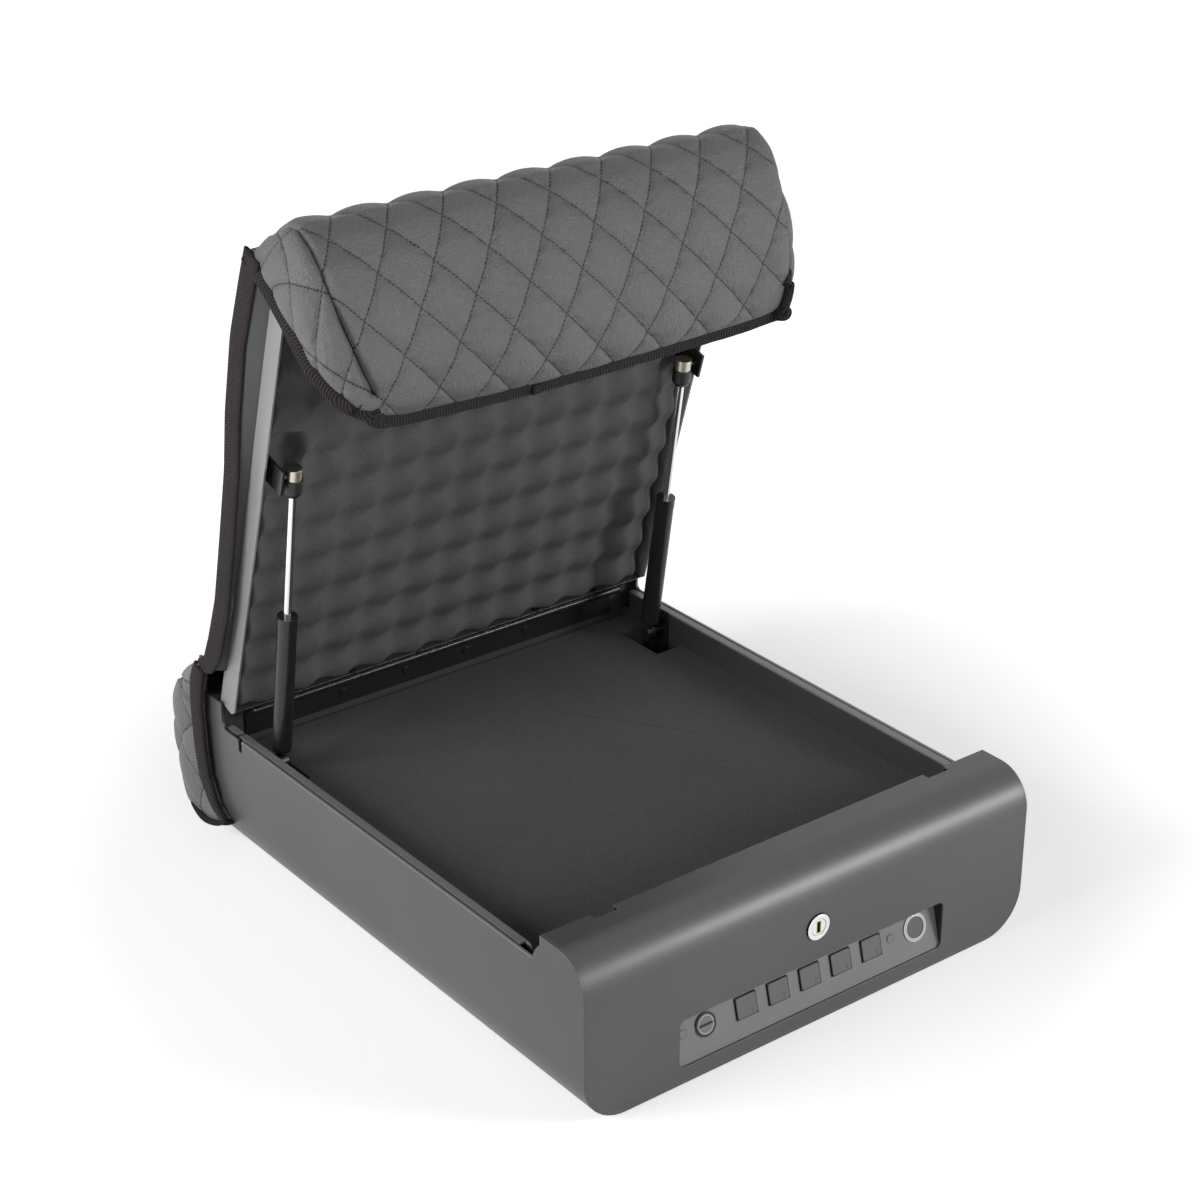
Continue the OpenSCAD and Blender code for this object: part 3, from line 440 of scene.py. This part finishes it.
number_ink = plastic("number_ink", 78, 0.5)
number_strokes = {
    1: [(0.1, 0.75), (0.32, 1.0), (0.32, 0.0)],
    2: [(0.0, 0.8), (0.2, 1.0), (0.5, 0.95), (0.58, 0.7), (0.0, 0.0), (0.6, 0.0)],
    3: [(0.0, 1.0), (0.58, 1.0), (0.28, 0.62), (0.58, 0.4), (0.55, 0.12), (0.3, 0.0), (0.0, 0.1)],
    4: [(0.45, 0.0), (0.45, 1.0), (0.0, 0.32), (0.62, 0.32)],
    5: [(0.56, 1.0), (0.06, 1.0), (0.03, 0.56), (0.35, 0.62), (0.58, 0.4), (0.5, 0.08), (0.0, 0.05)],
}
number_height, number_left, number_low = 0.0031, 0.0034, -0.0058
number_out, stroke_wide, stroke_thick = 0.00142, 0.00038, 0.00008
panel_face = np.array(on_panel(0, 0, 1)) - np.array(on_panel(0, 0, 0))
for number, strokes in number_strokes.items():
    middle = (number - 3) * key_pitch
    run = [on_panel(middle + number_left + a * number_height,
                    row_up + number_low + b * number_height, number_out) for a, b in strokes]
    figure = tape_along("number_%d" % number, run, stroke_wide, stroke_thick, panel_face,
                        number_ink, 8)
    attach(figure, "key_%d" % number)

# The round caps on the panel
# A coin-slot cap in a black ring, two flush discs for the lights, and the
# finger sensor, a glossy pad in a satin metal ring.
cap_across = -0.386 * panel_width
cap_edge, cap_line_in, cap_line_out = 0.0072, 0.0060, 0.0067
coin_slot_half, coin_slot_out = 0.0011, 0.0011
light_across = (-0.4664 * panel_width, 0.3166 * panel_width)
light_radius = 0.0027


def cap_marks(mould, colour):
    x, up, out = panel_place(mould)
    far = from_middle(x - cap_across, up)
    ringed = mould.mix((far > cap_line_in) * (far < cap_line_out), colour, grey(168))
    slot = (up.of("ABSOLUTE") < coin_slot_half) * (far < cap_line_in) * (out < coin_slot_out)
    return mould.mix((far > cap_edge).of("MAXIMUM", slot), ringed, grey(17))


cap_plastic = plastic("cap_plastic", 112, 0.36, marks=cap_marks)
dress(cap_plastic, "power_cap")


def light_marks(mould, colour):
    x, up, _ = panel_place(mould)
    from_left, from_right = [(x - at).of("ABSOLUTE") for at in light_across]
    far = from_middle(from_left.of("MINIMUM", from_right), up)
    return mould.mix((far > light_radius) * 0.6, colour, grey(70))


light_plastic = plastic("light_plastic", 118, 0.3, marks=light_marks)
dress(light_plastic, "indicators")


def metal(name, colour, rough, grain=600, marks=None):
    """Brushed metal; marks gives what is darker or paler, from the finish and its plain colour."""
    steel = Finish(name, Metallic=1.0)
    cloud = steel.noise(40, 2)
    brushed = steel.noise(grain, 3, 0.6, stretch=(1, 1, 0.08))
    paler, darker = [tuple(c * share for c in colour) + (1,) for share in (1.05, 0.88)]
    tone = steel.mix(cloud, paler, darker)
    if marks:
        tone = marks(steel, tone)
    steel.feed(Base_Color=tone,
               Roughness=brushed * 0.12 + (rough - 0.06),
               Normal=steel.bump(brushed, 0.00003, 0.3, 0.0004))
    return steel


ring_metal = metal("satin_ring", (0.42, 0.42, 0.42), 0.34)
dress(ring_metal, "sensor_ring")
sensor_gloss = plastic("sensor_gloss", 92, 0.2, 2000, 0.00001)
dress(sensor_gloss, "sensor_pad")

# The lock
# A key lock with a bright turned face and a faint dark line on it, a thin black
# ring painted round it as the shadow of the proud housing, and a brassy keyway,
# held by a nut behind the cover.
lock_up, lock_face_radius = 0.0774, 0.0098
lock_line_in, lock_line_out = 0.0060, 0.0067
keyway_half_wide, keyway_half_high = 0.0019, 0.0046


def lock_marks(steel, colour):
    x, _, z = steel.apart(steel.place())
    up = z - lock_up
    far = from_middle(x, up)
    line = (far > lock_line_in) * (far < lock_line_out) * 0.35
    keyway = (x.of("ABSOLUTE") < keyway_half_wide) * (up.of("ABSOLUTE") < keyway_half_high)
    # Painted shadow: beyond the face's radius the housing is near black.
    ringed = steel.mix((far > lock_face_radius).of("MAXIMUM", line), colour, grey(16))
    return steel.mix(keyway, ringed, (0.22, 0.14, 0.05, 1))


lock_face = metal("lock_face", (0.86, 0.86, 0.84), 0.32, marks=lock_marks)
dress(lock_face, "lock_plug", "lock_housing")
zinc = metal("zinc_steel", (0.55, 0.55, 0.56), 0.35)
dress(zinc, "lock_nut")
pale_brass = metal("brass_parts", (0.60, 0.55, 0.45), 0.3)
dress(pale_brass, "lock_cam")

# The latch
# A zinc-plated bar slides in two guides and holds two strikers on the lid. The
# lock's cam or a small geared motor with a crank moves it.
dress(zinc, "latch_bar", "motor_crank", "gear_motor", "strikers")

# The boards
# A green board behind the keys and a black control board, joined by a flat
# grey ribbon cable, and a power socket of black plastic behind the round cap.
black_plastic = plastic("black_plastic", 26, 0.4)
dress(black_plastic, "power_socket", "control_board")


def board_marks(mould, colour):
    return mould.mix(mould.noise(60) * 0.3, (0.02, 0.11, 0.05, 1), colour)


green_board = plastic("green_board", 60, 0.5, marks=board_marks)
dress(green_board, "key_board")
grey_cable = plastic("grey_cable", 150, 0.5)
dress(grey_cable, "ribbon_cable")

# The struts
# Two gas struts with glossy black painted tubes and bright rods. A plastic
# socket with a wire clip joins each to its ball stud.
chrome = metal("bright_chrome", (0.82, 0.82, 0.83), 0.12)
dress(chrome, "rod_left", "rod_right")
black_steel = plastic("black_steel", 34, 0.28, 1500, 0.00003)
dress(black_steel, "strut_foot_left", "strut_foot_right", "lid_stud_left", "lid_stud_right",
      "tube_left", "tube_right", "collar_left", "collar_right")
dress(black_plastic, "socket_left", "socket_right")
dress(pale_brass, "clip_left", "clip_right")

# The hinge
# A piano hinge of black painted steel along the back edge: two leaves on one
# pin, riveted to the body and to the lid.
dress(black_steel, "hinge_base_leaf", "hinge_lid_leaf", "hinge_pin", "hinge_rivets_base",
      "hinge_rivets_lid")

# The batteries
# Bright cells in a moulded box of black plastic, closed by a door of the same
# plastic.
dress(black_plastic, "battery_box", "battery_door")
dress(chrome, "battery_cells")

# The lid
# A folded pan in a paler coat, painted darker inside as shade, with egg-crate
# foam glued in it.
# The foam is sunk round the strut's stud at each side.
lid_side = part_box("lid_pan")[1][0] - 0.0022
# The pan's inside is painted darker as shade.
lid_coat = powder_coat("pale_powder_coat", 124, 0.38, painted_inner_shade=(lid_side, 58))
dress(lid_coat, "lid_pan")
open_angle = math.radians(73)
hinge_y, hinge_z = 0.200, 0.113


def on_lid(across, along, out):
    """A place on the open lid: across it, along it from the hinge, and out of its top."""
    return (across,
            hinge_y - along * math.cos(open_angle) + out * math.sin(open_angle),
            hinge_z + along * math.sin(open_angle) + out * math.cos(open_angle))


def grid_faces(rows, cols, start=0, turn=False):
    """The quads of a grid of points stored row by row."""
    quads = []
    for i in range(rows - 1):
        for j in range(cols - 1):
            a = start + i * cols + j
            quad = (a, a + 1, a + cols + 1, a + cols)
            quads.append(quad[::-1] if turn else quad)
    return quads


def closed_slab(name, front, back, flat, finish):
    """A solid between two grids of places; flat gives each column and row its metres of cloth."""
    rows, cols = front.shape[:2]
    points = np.concatenate([front.reshape(-1, 3), back.reshape(-1, 3)])
    faces = grid_faces(rows, cols) + grid_faces(rows, cols, rows * cols, True)
    ring = ([j for j in range(cols)] + [i * cols + cols - 1 for i in range(1, rows)]
            + [(rows - 1) * cols + j for j in range(cols - 2, -1, -1)]
            + [i * cols for i in range(rows - 2, 0, -1)])
    for a, b in zip(ring, ring[1:] + ring[:1]):
        faces.append((b, a, a + rows * cols, b + rows * cols))
    made = add_piece(name, points, faces, finish)
    lay_cloth(made, np.concatenate([flat.reshape(-1, 2)] * 2))
    return made


bump_pitch, bump_rise = 0.0235, 0.0100
bump_step = math.pi / bump_pitch / math.sqrt(2)
foam_face, foam_back = -0.0067, 0.0104
lid_half, near_end, far_end = 0.188, 0.0105, 0.3935
stud_across, stud_along = 0.1795, 0.235
well_half, well_reach, well_slope, well_floor = 0.0125, 0.0235, 0.004, 0.0085


def egg_crate_finish():
    """The lid's foam, with shade painted darker down in its hollows."""
    sponge = foam("lid_foam", 92, cut=False)
    across, along, _ = sponge.apart(sponge.node("UVMap", uv_map="cloth"))
    wave = ((across + along) * bump_step).of("SINE") * ((across - along) * bump_step).of("SINE")
    # Painted shade, darker down in the crate's hollows.
    hollow_painted_shade = sponge.spread(wave + sponge.noise(60, 3) * 0.5, 0.15, -0.75)
    plain = sponge.shader.inputs["Base Color"].links[0].from_socket
    sponge.feed(Base_Color=sponge.mix(hollow_painted_shade * 0.4, Value(sponge, plain), grey(56)))
    return sponge


crate_skin, crate_back, crate_flat = [], [], []
for along in np.linspace(near_end, far_end, 150):
    skin_row, back_row, flat_row = [], [], []
    for across in np.linspace(-lid_half, lid_half, 148):
        wave = math.sin((across + along) * bump_step) * math.sin((across - along) * bump_step)
        past_well = max(abs(abs(across) - stud_across) - well_half, abs(along - stud_along) - well_reach)
        sunk = min(1, max(0, (well_slope - past_well) / well_slope))
        out = foam_face + bump_rise * (0.5 + 0.5 * wave)
        out = out + (well_floor - out) * sunk
        skin_row.append(on_lid(across, along, out))
        back_row.append(on_lid(across, along, foam_back))
        flat_row.append((across, along))
    crate_skin.append(skin_row)
    crate_back.append(back_row)
    crate_flat.append(flat_row)
egg_crate = closed_slab("egg_crate_foam", np.array(crate_skin), np.array(crate_back),
                        np.array(crate_flat), egg_crate_finish())
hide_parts("lid_foam")
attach(egg_crate, "lid")

# The quilted cover
# Grey leather over padding, sewn in diamonds to a lining. One panel makes the
# hood and the back of the lid, another hangs behind the body. Two families of
# seams cross, steep ones and flatter ones.
quilt_pitch, quilt_zero = 0.0447, 0.1092
seam_families = ((0.615, -0.0193), (-0.93, -0.0136))
stitch_pitch, stitch_share, thread_half, pull_reach = 0.0034, 0.38, 0.0007, 0.008
puff, puff_level, groove_depth = 0.0040, 0.55, 0.004


def seam_count(across, along, slope, start):
    """How many seams of one family lie before a spot; it is whole on a seam."""
    return (across - (along - quilt_zero) * slope - start) / quilt_pitch


def leather_finish(name, level):
    """Leather with stitches along both families of seams; the map holds metres across and along."""
    hide = Finish(name, IOR=1.5, Sheen_Weight=0.05, Sheen_Roughness=0.5, Specular_IOR_Level=0.45)
    across, along, _ = hide.apart(hide.node("UVMap", uv_map="cloth"))
    cells = hide.node("TexVoronoi", {"Vector": hide.place(), "Scale": 560.0},
                      feature="DISTANCE_TO_EDGE")
    creases = (cells * 2.4).of("MINIMUM", 1.0)
    fine = hide.noise(1500, 3)
    wrinkle = hide.noise(330, 3, 0.6, stretch=(1, 1, 0.45))
    cloud = hide.noise(9, 3)
    thread, pull = [], []
    for slope, start in seam_families:
        line = seam_count(across, along, slope, start)
        off = (line - line.of("ROUND")).of("ABSOLUTE") * quilt_pitch
        run = along * (math.hypot(1, slope) / stitch_pitch)
        dash = (run - run.of("FLOOR") - 0.5).of("ABSOLUTE")
        thread.append((off < thread_half) * (dash < stitch_share))
        near = 1.0 - (off / pull_reach).of("MINIMUM", 1.0)
        pull.append((run * (math.pi / 2) + cloud * 9).of("SINE") * near * near)
    sewn = thread[0].of("MAXIMUM", thread[1])
    tone = hide.spread(cloud * 0.6 + creases * 0.45 + wrinkle * 0.4, 0.35, 1.2)
    colour = hide.mix(tone, grey(level - 14), grey(level + 9))
    height = creases * 0.5 + fine * 0.3 + wrinkle * 1.5 + (pull[0] + pull[1]) * 0.6 - sewn * 0.9
    hide.feed(Base_Color=hide.mix(sewn, colour, grey(22)),
              Roughness=creases * -0.10 + cloud * 0.08 + 0.46,
              Normal=hide.bump(height, 0.0007, 0.9))
    return hide


leather = leather_finish("grey_leather", 99)


def diamonds(across, along):
    """How full the padding is, 0 on a seam and 1 in the middle of a diamond."""
    steep, flat = [seam_count(across, along, slope, start) for slope, start in seam_families]
    return (np.abs(np.sin(np.pi * steep)) * np.abs(np.sin(np.pi * flat))) ** 0.42


def smooth_path(points):
    """A smooth run through the given points: its place at any distance along it, and its length."""
    points = np.array(points, float)
    span = length_along(points)
    fine = np.linspace(0, span[-1], 2001)
    dense = np.stack([np.interp(fine, span, points[:, k]) for k in range(points.shape[1])], 1)
    reach = 45
    kernel = np.hanning(2 * reach + 1)
    kernel /= kernel.sum()
    padded = np.concatenate([2 * dense[0] - dense[reach:0:-1], dense,
                             2 * dense[-1] - dense[-2:-reach - 2:-1]])
    eased = np.stack([np.convolve(padded[:, k], kernel, "valid") for k in range(points.shape[1])], 1)
    length = length_along(eased)

    def at(distance):
        return np.array([np.interp(distance, length, eased[:, k]) for k in range(eased.shape[1])])
    return at, length[-1]


def breadth_shares(turn, left, middle, right):
    """Places across a sheet from -1 to 1, with a number of their own beyond each turn."""
    return np.concatenate([np.linspace(-1, -turn, left)[:-1],
                           np.linspace(-turn, turn, middle),
                           np.linspace(turn, 1, right)[1:]])


def quilted_sheet(name, rows, shares, where, lining, steady=0):
    """A padded leather panel. where gives each point's place, metres of cloth and fullness, which
    is 1 in the open, 0 at an edge and -1 down in a sewn groove.
    The first steady rows all look the way that the next one does."""
    grid = np.zeros((rows, len(shares), 3))
    flat = np.zeros((rows, len(shares), 2))
    calm = np.zeros((rows, len(shares)))
    for i, part in enumerate(np.linspace(0, 1, rows)):
        for j, share in enumerate(shares):
            grid[i, j], flat[i, j], calm[i, j] = where(share, part)
    out = np.cross(np.gradient(grid, axis=1), np.gradient(grid, axis=0))
    out /= np.maximum(np.linalg.norm(out, axis=2, keepdims=True), 1e-9)
    out[:steady] = out[steady]
    full = diamonds(flat[..., 0], flat[..., 1]) * np.sqrt(np.clip(calm, 0, 1))
    dip = np.clip(-calm, 0, 1)
    skin = grid + out * (puff * (full - puff_level) - groove_depth * dip)[..., None]
    back = grid - out * lining
    made = closed_slab(name, skin, back, flat, leather)
    return made, skin, back, out


# The hood
# The front of the cover. It hangs forward from the lid's edge, a curved panel
# with a side gusset sewn in at each end, and is open below. The hem rises
# towards its corners.
cover_half = 0.2035
hood_profile = [(0.0305, 0.3895), (0.027, 0.398), (0.022, 0.409), (0.020, 0.430), (0.023, 0.455),
                (0.031, 0.485), (0.041, 0.507), (0.052, 0.522), (0.065, 0.531), (0.080, 0.530),
                (0.100, 0.519), (0.114, 0.506)]
hood_at, hood_length = smooth_path(hood_profile)
hem_rise = [(-0.156, 0.0100), (-0.145, 0.0066), (-0.132, 0.0056), (-0.119, 0.0052),
            (-0.076, 0.0022), (-0.028, 0.0002), (0.020, 0.0002), (0.076, 0.0015),
            (0.154, 0.0050), (0.175, 0.0064), (0.192, 0.0096)]
hem_turn, hem_seam_station = 0.0035, 0.012
seam_stations = [0.0, 0.0162, 0.0352, 0.0532, 0.0762, 0.1022, 0.1412, 0.2136]
left_seam = np.polyfit(seam_stations, [0.152, 0.158, 0.168, 0.175, 0.182, 0.189, 0.194, 0.1945], 4)
right_seam = np.polyfit(seam_stations, [0.190, 0.1925, 0.195, 0.1965, 0.1975, 0.198, 0.198, 0.196], 4)
gusset_left = smooth_path([(-0.1765, 0.0225, 0.4080), (-0.1870, 0.0240, 0.4153),
                           (-0.1945, 0.0285, 0.4215), (-0.2030, 0.0478, 0.4385),
                           (-0.2060, 0.0689, 0.4640), (-0.2065, 0.0949, 0.4868),
                           (-0.205, 0.113, 0.500)])
gusset_right = smooth_path([(0.1955, 0.0225, 0.406), (0.2005, 0.027, 0.418), (0.2030, 0.036, 0.431),
                            (0.2048, 0.052, 0.446), (0.2065, 0.072, 0.464), (0.2065, 0.098, 0.484),
                            (0.205, 0.113, 0.500)])
# Each end of the hood: how its seam runs, its gusset's outer edge and how far the gusset bulges.
hood_ends = {-1: (left_seam, gusset_left, 0.012), 1: (right_seam, gusset_right, 0.007)}
gusset_share, left_columns, right_columns = 0.82, 34, 26
edge_trim, seam_fade, groove_half, groove_start = 0.0035, 0.009, 0.003, 0.09


def hood_where(share, part):
    side = 1 if share > 0 else -1
    seam_fit, gusset, fullest = hood_ends[side]
    grooved = side < 0 and part > groove_start
    low_x = np.polyval(seam_fit, hem_seam_station) * min(1, abs(share) / gusset_share) * side
    low = np.interp(low_x, *zip(*hem_rise)) + hem_turn
    station = low + (hood_length - low) * part
    seam_x = np.polyval(seam_fit, station)
    y, z = hood_at(station)
    hem_off = station - low
    if abs(share) <= gusset_share:
        x = seam_x * abs(share) / gusset_share
        calm = min(1, hem_off / seam_fade, (seam_x - x) / seam_fade, 0.15 + (hood_length - station) / 0.02)
        if grooved and seam_x - x < groove_half:
            calm = (seam_x - x) / groove_half - 1
        return (x * side, y, z), (x * side, station), calm
    k = (abs(share) - gusset_share) / (1 - gusset_share)
    edge = gusset[0](part * gusset[1])
    seam = np.array([seam_x * side, y, z])
    edge = edge + (seam - edge) * edge_trim / np.linalg.norm(edge - seam)
    span = np.linalg.norm(edge - seam)
    bulge = fullest * math.sin(math.pi * min(1, part * 1.05)) + 0.003
    control = (seam + edge) / 2 + np.array([bulge * side, -0.35 * bulge, 0])
    place = seam * (1 - k) ** 2 + control * 2 * k * (1 - k) + edge * k * k
    calm = min(1, hem_off / 0.025, span * k / seam_fade, span * (1 - k) / 0.006)
    if grooved and span * k < groove_half:
        calm = span * k / groove_half - 1
    return tuple(place), ((seam_x + span * k) * side, station), calm


hood_shares = breadth_shares(gusset_share, left_columns, 210, right_columns)
hood, hood_skin, hood_back, hood_out = quilted_sheet("hood_leather", 124, hood_shares, hood_where,
                                                     0.0055, steady=9)
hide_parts("hood")

# The lid's back
# The same panel runs on down the back of the lid to the crease above the
# hinge. Plain sides turn in to the lid's edge.
back_profile = [hood_profile[-1]] + [on_lid(0, a / 1000, v / 1000)[1:] for a, v in
                                     ((375, 35), (328, 38), (267, 34), (221, 27), (160, 23),
                                      (105, 20), (61, 23), (42, 28))]
back_at, back_length = smooth_path(back_profile)
back_turn, turn_in, turn_round = 0.9, 0.016, 0.0025


def back_where(share, part):
    station = back_length * part
    y, z = back_at(station)
    side = math.copysign(1, share)
    calm = min(1, (back_turn - abs(share)) / 0.06, 0.15 + station / 0.02, (back_length - station) / 0.008)
    if abs(share) <= back_turn:
        x = cover_half * share / back_turn
        return (x, y, z), (x, hood_length + station), max(0, calm)
    k = (abs(share) - back_turn) / (1 - back_turn)
    x = side * (cover_half + turn_round * math.sin(math.pi * k))
    return ((x, y - math.sin(open_angle) * turn_in * k, z - math.cos(open_angle) * turn_in * k),
            (side * (cover_half + turn_in * k), hood_length + station), 0)


back_shares = breadth_shares(back_turn, 9, 190, 9)
lid_back = quilted_sheet("lid_leather", 180, back_shares, back_where, 0.006)[0]
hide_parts("lid_cover")
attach(lid_back, "lid")

# The rear apron
# It hangs behind the body from the crease, and turns in round both rear
# corners. A sewn fold crosses it just below the crease.
apron_at, apron_length = smooth_path([on_lid(0, 0.042, 0.028)[1:], (0.235, 0.146), (0.2615, 0.128),
                                      (0.2695, 0.106), (0.273, 0.085), (0.272, 0.059),
                                      (0.268, 0.037), (0.258, 0.0225), (0.249, 0.019)])
apron_edge, apron_edge_length = smooth_path([(0.219, 0.153), (0.226, 0.136), (0.2285, 0.120),
                                             (0.2285, 0.100), (0.2275, 0.078), (0.2245, 0.057),
                                             (0.2135, 0.037), (0.197, 0.0265)])
apron_turn, apron_first = 0.84, 0.55
fold_station, fold_half, apron_fade = 0.057, 0.004, 0.008


def apron_where(share, part):
    station = apron_length * part
    spot = apron_at(station)
    side = math.copysign(1, share)
    fold = abs(station - fold_station)
    calm = min(1, station / apron_fade, (apron_length - station) / apron_fade, fold / 0.006)
    if fold < fold_half:
        calm = fold / fold_half - 1
    if abs(share) <= apron_turn:
        x = cover_half * share / apron_turn
        return (x, spot[0], spot[1]), (x, apron_first + station), calm
    k = (abs(share) - apron_turn) / (1 - apron_turn)
    edge = apron_edge(part * apron_edge_length)
    span = np.linalg.norm(edge - spot)
    y, z = spot * (1 - k) + edge * k
    x = side * (cover_half + 0.0035 * math.sin(math.pi * min(1, 1.3 * k)))
    z -= 0.005 * math.sin(math.pi * k) * max(0, part - 0.8) * 5
    calm = min(calm, span * (1 - k) / 0.006) if calm > 0 else calm * (1 - k)
    return (x, y, z), (side * (cover_half + span * k), apron_first + station), calm


apron_shares = breadth_shares(apron_turn, 26, 180, 26)
apron, apron_skin = quilted_sheet("apron_leather", 96, apron_shares, apron_where, 0.006)[:2]
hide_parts("apron")
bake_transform(apron)

# The hood's binding
# Black woven tape, folded over the raw edge and sewn through: one length from
# the lid down the left gusset, along the hem and up the right gusset. A small
# tab of it is sewn under the hem, and a thin dark strip of it along the left
# seam is painted shade for that seam's groove.
twill_pitch, twill_lean = 0.0024, 2.2


def woven_finish(name):
    """Woven tape, whose twill runs slantwise over its broad side."""
    tape = Finish(name, Roughness=0.85, Specular_IOR_Level=0.2)
    run, girth, _ = tape.apart(tape.node("UVMap", uv_map="cloth"))
    lean = (girth * 4.0).of("PINGPONG", 1.0)
    twill = ((run / twill_pitch + lean * twill_lean) * (2 * math.pi)).of("SINE")
    fibre = tape.noise(2200, 2)
    wear_and_edge_highlight = tape.noise(70, 3)
    tone = tape.spread(twill * 0.8 + fibre * 0.8 + wear_and_edge_highlight * 0.5, -0.3, 1.8)
    tape.feed(Base_Color=tape.mix(tone, (0.006, 0.005, 0.005, 1), (0.052, 0.044, 0.042, 1)),
              Normal=tape.bump(twill + fibre * 0.6, 0.0005, 0.9))
    return tape


woven = woven_finish("woven_tape")


def spaced(points, step=0.004):
    """The same run, with its points a step apart."""
    points = np.array(points, float)
    span = length_along(points)
    at = np.linspace(0, span[-1], max(8, int(span[-1] / step)))
    return np.stack([np.interp(at, span, points[:, k]) for k in range(points.shape[1])], 1)


def past_edge(edge, inner, by):
    """Places a little beyond an edge, on the line from a row further in."""
    breadth = np.linalg.norm(edge - inner, axis=1, keepdims=True)
    return edge + (edge - inner) * by / np.maximum(breadth, 1e-6)


def gusset_face(edge, seam, side):
    """The way that a gusset looks at its edge, square to its breadth."""
    face = np.cross(edge - seam, np.gradient(edge, axis=0))
    face /= np.maximum(np.linalg.norm(face, axis=1, keepdims=True), 1e-9)
    return face * (side * np.sign(face[:, :1]))


hood_mid = hood_skin * 0.7 + hood_back * 0.3
left_edge, left_sewn = hood_mid[::-1, 0], hood_mid[::-1, left_columns - 1]
right_edge, right_sewn = hood_mid[:, -1], hood_mid[:, -right_columns]
bound_places = np.concatenate([past_edge(left_edge, left_sewn, 0.0035),
                               past_edge(hood_mid[0, 2:-2], hood_mid[3, 2:-2], 0.0040),
                               past_edge(right_edge, right_sewn, -0.0020)])
bound_faces = np.concatenate([gusset_face(left_edge, left_sewn, -1), hood_out[0, 2:-2],
                              gusset_face(right_edge, right_sewn, 1)])
rim = spaced(np.concatenate([bound_places, bound_faces], 1))
for _ in range(15):
    rim[1:-1] = rim[:-2] / 4 + rim[1:-1] / 2 + rim[2:] / 4
hood_binding = tape_along("hood_binding", rim[:, :3], 0.0130, 0.0064, rim[:, 3:], woven)
# A thin dark strip along the left seam, painted shade for its groove.
seam_shade_run = spaced(hood_skin[10:-6, left_columns - 1])
seam_shade_strip = tape_along("seam_shade_strip", seam_shade_run, 0.0022, 0.0016, (-0.6, -0.8, 0.1), woven)
tab_across, hood_top_side = -0.0297, 0.42
tab_at = np.argmin(np.abs(rim[:, 0] - tab_across) + (rim[:, 2] > hood_top_side))
tab_run = rim[tab_at - 1:tab_at + 3, :3] + np.array([0, -0.0042, -0.001])
pull_tab = tape_along("pull_tab", tab_run, 0.0075, 0.003, (0, -1, 0), woven)
for piece in (hood, hood_binding, seam_shade_strip, pull_tab):
    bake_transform(piece)

# The lid's side bindings
# A wide tape of the same weave runs down each side of the lid. A strip of
# smooth lining closes the space from it to the lid's pan.
tape_side, tape_in = 0.2052, 0.0082
lining_side, lining_in = 0.2050, 0.0150
pan_side, pan_out = 0.1950, 0.0090


def lining_marks(mould, colour):
    return mould.mix(mould.noise(25) * 0.3, colour, (0.05, 0.06, 0.08, 1))


lining_cloth = plastic("smooth_lining", 54, 0.6, 1400, 0.00010, marks=lining_marks)
back_run = np.array([back_at(s) for s in np.linspace(0.0, back_length, 90)])
inward = np.array([math.sin(open_angle), math.cos(open_angle)])
along_lid = ((hinge_y - back_run[:, 0]) * math.cos(open_angle)
             + (back_run[:, 1] - hinge_z) * math.sin(open_angle))
for side_name, side in (("left", -1), ("right", 1)):
    tape_run = np.column_stack([np.full(len(back_run), side * tape_side), back_run - inward * tape_in])
    tape_run = spaced(np.concatenate([tape_run, [(side * tape_side, *apron_edge(0))]]))
    breadth = np.interp(np.linspace(0, 1, len(tape_run)), [0, 0.92, 1], [0.0195, 0.0195, 0.0120])
    side_tape = tape_along("lid_binding_" + side_name, tape_run, breadth, 0.0040, (side, 0, 0), woven)
    taped = np.column_stack([np.full(len(back_run), side * lining_side), back_run - inward * lining_in])
    at_pan = np.array([on_lid(side * pan_side, a, pan_out) for a in along_lid])
    looks = np.cross(at_pan - taped, np.gradient(taped, axis=0))
    strip = tape_along("lid_lining_" + side_name, (taped + at_pan) / 2,
                       np.linalg.norm(at_pan - taped, axis=1), 0.0022, looks, lining_cloth)
    for piece in (side_tape, strip):
        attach(piece, "lid")

# The apron's bindings
# Wide tape along both ends of the apron, narrower where it tapers off below,
# and a plain one along its hem.
apron_tape_side, apron_tape_draw = 0.2068, 0.0010
for side_name, side, column in (("left", -1, 0), ("right", 1, -1)):
    edge_run = spaced(apron_skin[:, column])
    down = np.linspace(0, 1, len(edge_run))
    edge_run[:, 0] = side * (apron_tape_side - apron_tape_draw * down)
    taper = np.interp(down, [0, 0.12, 0.75, 1], [0.013, 0.0172, 0.0160, 0.005])
    end_tape = tape_along("apron_binding_" + side_name, edge_run, taper, 0.0046, (side, 0, 0), woven)
    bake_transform(end_tape)
apron_hem = tape_along("apron_hem", spaced(apron_skin[-1]), 0.010, 0.0042, (0, 0.5, -1), woven)
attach(apron_hem, "base")
